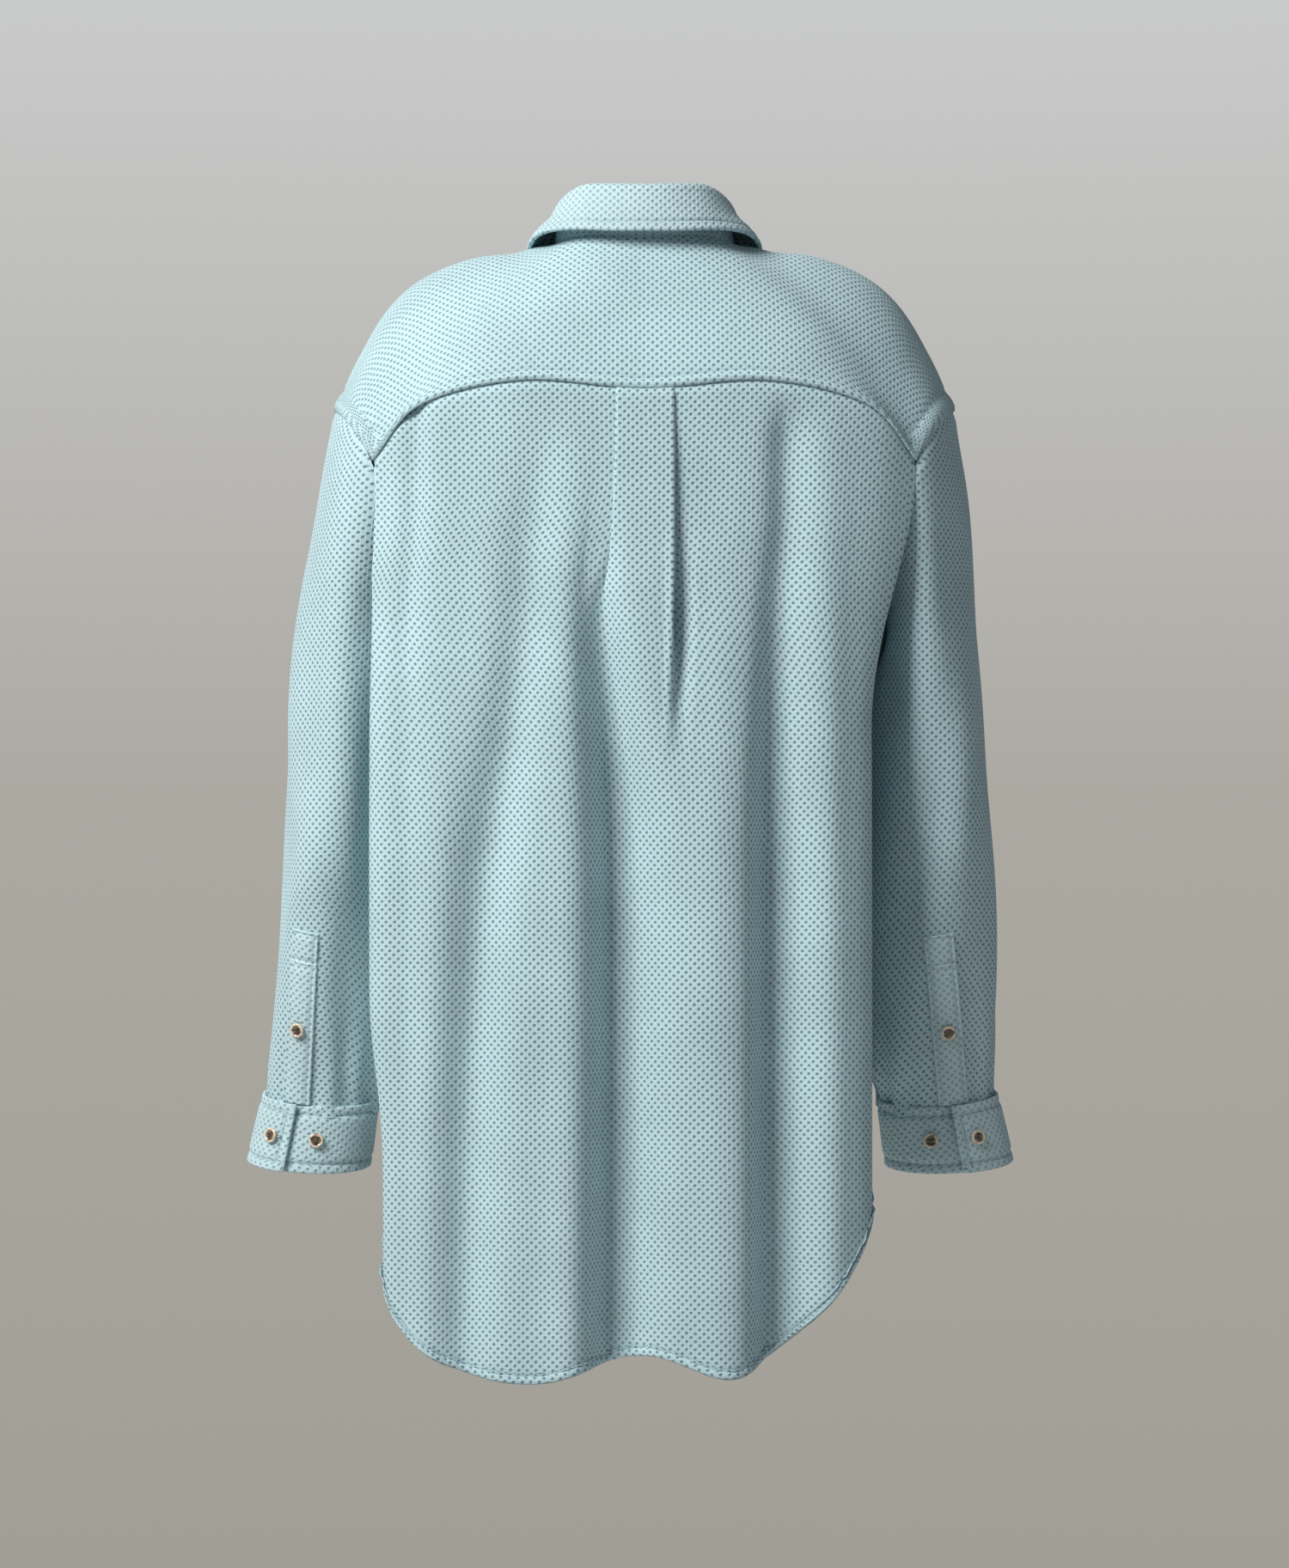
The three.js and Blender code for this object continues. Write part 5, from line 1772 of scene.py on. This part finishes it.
@dataclass
class Buttons:
    """The sew-through horn buttons, their threads and their worked buttonholes."""

    radius: float = 5.7
    hole_radius: float = 0.62
    hole_offset: float = 1.08
    floor_height: float = 1.7
    steps: int = 48
    profile: Profile = (
        (0.0, 0.0), (4.7, 0.0), (5.35, 0.25), (5.66, 0.8), (5.7, 1.5), (5.5, 2.15), (5.05, 2.55),
        (4.5, 2.6), (4.0, 2.42), (3.6, 2.05), (3.2, 1.8), (2.6, 1.7), (0.0, 1.7),
    )
    slot_length: float = 14.5
    slot_width: float = 2.2
    count: int = 0

    def _button(self) -> bpy.types.Mesh:
        """Turns the button and drills its four holes."""
        shape = spun([(r * METRES, z * METRES) for r, z in self.profile], self.steps)
        bmesh.ops.remove_doubles(shape, verts=shape.verts[:], dist=1e-6)
        bmesh.ops.recalc_face_normals(shape, faces=shape.faces[:])
        drill = bmesh.new()
        for x in (-self.hole_offset, self.hole_offset):
            for y in (-self.hole_offset, self.hole_offset):
                spot = Matrix.Translation(Vector((x, y, 1.0)) * METRES)
                bmesh.ops.create_cone(
                    drill, cap_ends=True, segments=14, radius1=self.hole_radius * METRES,
                    radius2=self.hole_radius * METRES, depth=6 * METRES, matrix=spot,
                )
        blank = linked("button_blank", meshed("button_blank", shape))
        cutter = linked("button_drill", meshed("button_drill", drill))
        cut = blank.modifiers.new("holes", "BOOLEAN")
        cut.object = cutter
        cut.operation = "DIFFERENCE"
        cut.solver = "EXACT"
        made = bpy.data.meshes.new_from_object(
            blank.evaluated_get(bpy.context.evaluated_depsgraph_get())
        )
        for part in (blank, cutter):
            bpy.data.objects.remove(part)
        # The depth attribute paints shade: full in the sunk middle, slight and even elsewhere.
        sunk_middle_shade = made.attributes.new("depth", "FLOAT", "POINT")
        for k, vertex in enumerate(made.vertices):
            reach = vertex.co.to_2d().length / METRES
            sunk = reach < 3.7 and vertex.co.z / METRES > 0.5
            sunk_middle_shade.data[k].value = 1.0 if sunk else 0.15
        return made

    def _knot(self) -> bpy.types.Mesh:
        """Makes the bars of thread that cross the button's middle."""
        shape = bmesh.new()
        for across in (-self.hole_offset, self.hole_offset):
            for beside in (-0.26, 0.0, 0.26):
                ring = bmesh.ops.create_circle(
                    shape, cap_ends=True, segments=8, radius=0.24 * METRES,
                    matrix=Matrix.Translation(
                        Vector((-self.hole_offset, across + beside, self.floor_height - 0.2))
                        * METRES
                    ),
                )["verts"]
                faces = {face for vertex in ring for face in vertex.link_faces}
                bmesh.ops.spin(
                    shape, geom=list(faces), axis=(0, 1, 0), angle=math.pi, steps=10,
                    cent=Vector((0, across, self.floor_height - 0.2)) * METRES,
                )
        bmesh.ops.recalc_face_normals(shape, faces=shape.faces[:])
        squash = Matrix.Diagonal((1.0, 1.0, 0.8))
        for vertex in shape.verts:
            vertex.co = squash @ vertex.co
            vertex.co.z += 0.25 * self.floor_height * METRES
        return meshed("button_knot", shape)

    def _seat(self, node: str) -> Matrix:
        """Where a button sits: its frame, face up, from the frame's own node."""
        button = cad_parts[node]
        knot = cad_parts[f"{node}_thread"]
        points = np.array([vertex.co for vertex in button.data.vertices], float)
        centre = points.mean(0)
        _, _, axes = np.linalg.svd(points - centre, full_matrices=False)
        up = Vector(axes[2])
        thread = np.array([vertex.co for vertex in knot.data.vertices], float).mean(0)
        if up.dot(Vector(thread - centre)) < 0:
            up.negate()
        heights = (points - centre) @ np.array(up)
        beside = up.cross(Vector((0, 0, 1))).normalized()
        along = up.cross(beside)
        turn = Matrix((beside, along, up)).transposed().to_4x4()
        middle = (Vector(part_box(node)[0]) + Vector(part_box(node)[1])) / 2
        spot = middle - up * (float(heights.max() - heights.min()) / 2)
        return Matrix.Translation(spot) @ turn

    def _placed(self, name: str, mesh: bpy.types.Mesh, seat: Matrix,
                material: bpy.types.Material, placement: Placement, turn: float) -> None:
        """Places a copy of a mesh on a seat.

        Args:
            name: The piece's name.
            mesh: What is copied.
            seat: Where it sits, face up.
            material: Its finish.
            placement: What it rides on and stands for.
            turn: How far it is turned about its own axis, in radians.
        """
        own = mesh.copy()
        own.name = name
        own.transform(seat @ Matrix.Rotation(turn, 4, "Z"))
        own.materials.clear()
        own.materials.append(material)
        own.shade_smooth()
        own.set_sharp_from_angle(angle=math.radians(38))
        placement.apply(linked(name, own))

    def _buttonhole(self, shape: bmesh.types.BMesh, seat: Matrix, level: bool) -> None:
        """Works one buttonhole: short stitches side by side round a slot."""
        turns = np.linspace(0, 2 * math.pi, 73)
        half, wide = self.slot_length / 2 - self.slot_width / 2, self.slot_width / 2
        x = np.clip(1.6 * np.cos(turns), -1, 1) * half + wide * np.cos(turns)
        y = wide * np.sin(turns)
        along = stacked(x, y, 0 * x) if level else stacked(y, x, 0 * x)
        local = along + np.array([0, 0, -0.35])
        turn = np.array(seat.to_3x3())
        path = (local * METRES) @ turn.T + np.array(seat.translation)
        normals = np.repeat(turn[:, 2][None], len(path), axis=0)
        Stitch(pitch=0.62, length=1.7, radius=0.3).run(shape, path / METRES, normals, across=True)

    def build(self, wardrobe: Wardrobe) -> None:
        """Makes every button, its thread and its buttonhole."""
        button, knot = self._button(), self._knot()
        sets: dict[Body, list[str]] = {
            Body.TORSO: ["collar_button", *[f"front_button_{k}" for k in range(1, 7)]],
        }
        for side in Side:
            sets[Body.sleeve(side)] = [
                f"cuff_button_{side.value}_outer", f"cuff_button_{side.value}_inner",
                f"placket_button_{side.value}",
            ]
        for body, names in sets.items():
            holes = bmesh.new()
            for name in names:
                seat = self._seat(name)
                turn = 0.7 * self.count
                self._placed(f"{name}_horn", button, seat, wardrobe.horn,
                             Placement(body, Slot.HORN, (name,)), turn)
                self._placed(f"{name}_bars", knot, seat, wardrobe.button_thread,
                             Placement(body, Slot.THREAD, (f"{name}_thread",)), turn)
                if "inner" not in name:
                    self._buttonhole(holes, seat, "cuff" in name or "collar" in name)
                self.count += 1
            threaded(f"buttonholes_{body.value}", holes, wardrobe.thread, body)
        for mesh in (button, knot):
            bpy.data.meshes.remove(mesh)


# ---- The studio ----


@dataclass
class Studio:
    """A round backdrop that glows grey, a pale floor, soft lamps and the camera."""

    distance: float = 4.4
    object_plane: float = -0.03
    eye_height: float = -0.407
    view_height: float = 1.168
    sensor: float = 36.0
    floor_level: float = -1.5
    radius: float = 3.2
    key_power: float = 125.0
    fill_power: float = 4.0
    front_power: float = 45.0
    world_strength: float = 0.165

    def _backdrop_glow(self) -> bpy.types.Material:
        """The backdrop's painted light: a glow that is darker towards the bottom and pales towards
        the top, which shows its inner side only.
        """
        wiring = Wiring("studio_backdrop_glow")
        place = wiring.node("ShaderNodeTexCoord").outputs["Object"]
        parts = wiring.node("ShaderNodeSeparateXYZ")
        wiring.join(place, parts.inputs[0])
        share = wiring.made(
            "ShaderNodeMapRange", {"From Min": -1.42, "From Max": 0.60, "Value": parts.outputs[2]},
            "Result",
        )
        # Painted light: the glow's colour darkens towards the bottom and pales towards the top.
        colour = wiring.colours(share, (
            (0.0, (0.356, 0.342, 0.305)), (0.5, (0.413, 0.397, 0.361)), (1.0, (0.584, 0.591, 0.591)),
        ))
        behind = wiring.node("ShaderNodeNewGeometry").outputs["Backfacing"]
        glow = wiring.made("ShaderNodeEmission", {"Color": colour})
        clear = wiring.made("ShaderNodeBsdfTransparent", {})
        blend = wiring.made("ShaderNodeMixShader", {0: behind, 1: glow, 2: clear})
        wiring.fill(wiring.output, {"Surface": blend})
        wiring.tree.nodes.remove(wiring.shader)
        return wiring.material

    def _backdrop(self) -> None:
        """Makes the round backdrop and the floor."""
        shape = spun([(self.radius, z) for z in (self.floor_level, 0.0, 2.6)], 96)
        bmesh.ops.recalc_face_normals(shape, faces=shape.faces[:])
        shape.faces.ensure_lookup_table()
        first = shape.faces[0]
        if first.normal.dot(first.calc_center_median()) > 0:
            bmesh.ops.reverse_faces(shape, faces=shape.faces[:])
        wall = added("backdrop", shape, self._backdrop_glow())
        wall.data.shade_smooth()
        for ray in ("diffuse", "glossy", "transmission", "volume_scatter", "shadow"):
            setattr(wall, f"visible_{ray}", False)
        ground = bmesh.new()
        bmesh.ops.create_circle(ground, cap_ends=True, segments=96, radius=self.radius,
                                matrix=Matrix.Translation((0, 0, self.floor_level)))
        bmesh.ops.recalc_face_normals(ground, faces=ground.faces[:])
        paper = StudioPaper("studio_floor", (0.60, 0.59, 0.57), (0.62, 0.61, 0.59), -2.0, -1.0)
        floor = added("floor", ground, paper.material())

    def _lamp(self, name: str, spot: Vector, size: float, power: float,
              colour: Colour) -> None:
        """Adds a soft square lamp that faces the shirt."""
        light = bpy.data.lights.new(name, "AREA")
        light.shape = "SQUARE"
        light.size = size
        light.energy = power
        light.color = colour
        lamp = linked(name, light)
        lamp.location = spot
        aim = Vector((0, 0, -0.35)) - spot
        lamp.rotation_euler = aim.to_track_quat("-Z", "Y").to_euler()
        lamp.visible_camera = False

    def build(self) -> None:
        """Makes the camera, the lights and the backdrop."""
        scene = bpy.context.scene
        data = bpy.data.cameras.new("camera")
        data.sensor_fit = "AUTO"
        data.sensor_width = self.sensor
        data.lens = self.sensor * self.distance / self.view_height
        camera = linked("camera", data)
        camera.location = (0, self.object_plane - self.distance, self.eye_height)
        camera.rotation_euler = (math.pi / 2, 0, 0)
        scene.camera = camera
        scene.view_settings.view_transform = "Standard"
        self._backdrop()
        self._lamp("key_lamp", Vector((-1.9, -1.75, 1.5)), 1.4, self.key_power, (1.0, 0.985, 0.96))
        self._lamp("fill_lamp", Vector((2.4, -1.6, 0.2)), 1.6, self.fill_power, (0.93, 0.97, 1.0))
        self._lamp("front_lamp", Vector((-1.3, 2.6, 0.9)), 1.8, self.front_power, (1.0, 0.99, 0.97))
        world = bpy.data.worlds.new("studio")
        world.use_nodes = True
        sky = world.node_tree.nodes["Background"]
        sky.inputs["Color"].default_value = (0.93, 0.96, 1.0, 1.0)
        sky.inputs["Strength"].default_value = self.world_strength
        scene.world = world


def main() -> None:
    """Builds the studio and the shirt, piece by piece."""
    logging.basicConfig(level=logging.INFO, format="%(name)s: %(message)s")
    Studio().build()
    wardrobe = Wardrobe()
    Yoke().build(wardrobe)
    BackPanel().build(wardrobe)
    FrontPanels().build(wardrobe)
    Collar().build(wardrobe)
    for cut in SLEEVES:
        fullness = 10.0 if cut.side is Side.RIGHT else 0.0
        Sleeve(cut, inner_fullness=fullness).build(wardrobe)
    Buttons().build(wardrobe)
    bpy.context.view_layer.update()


if __name__ == "__main__":
    main()
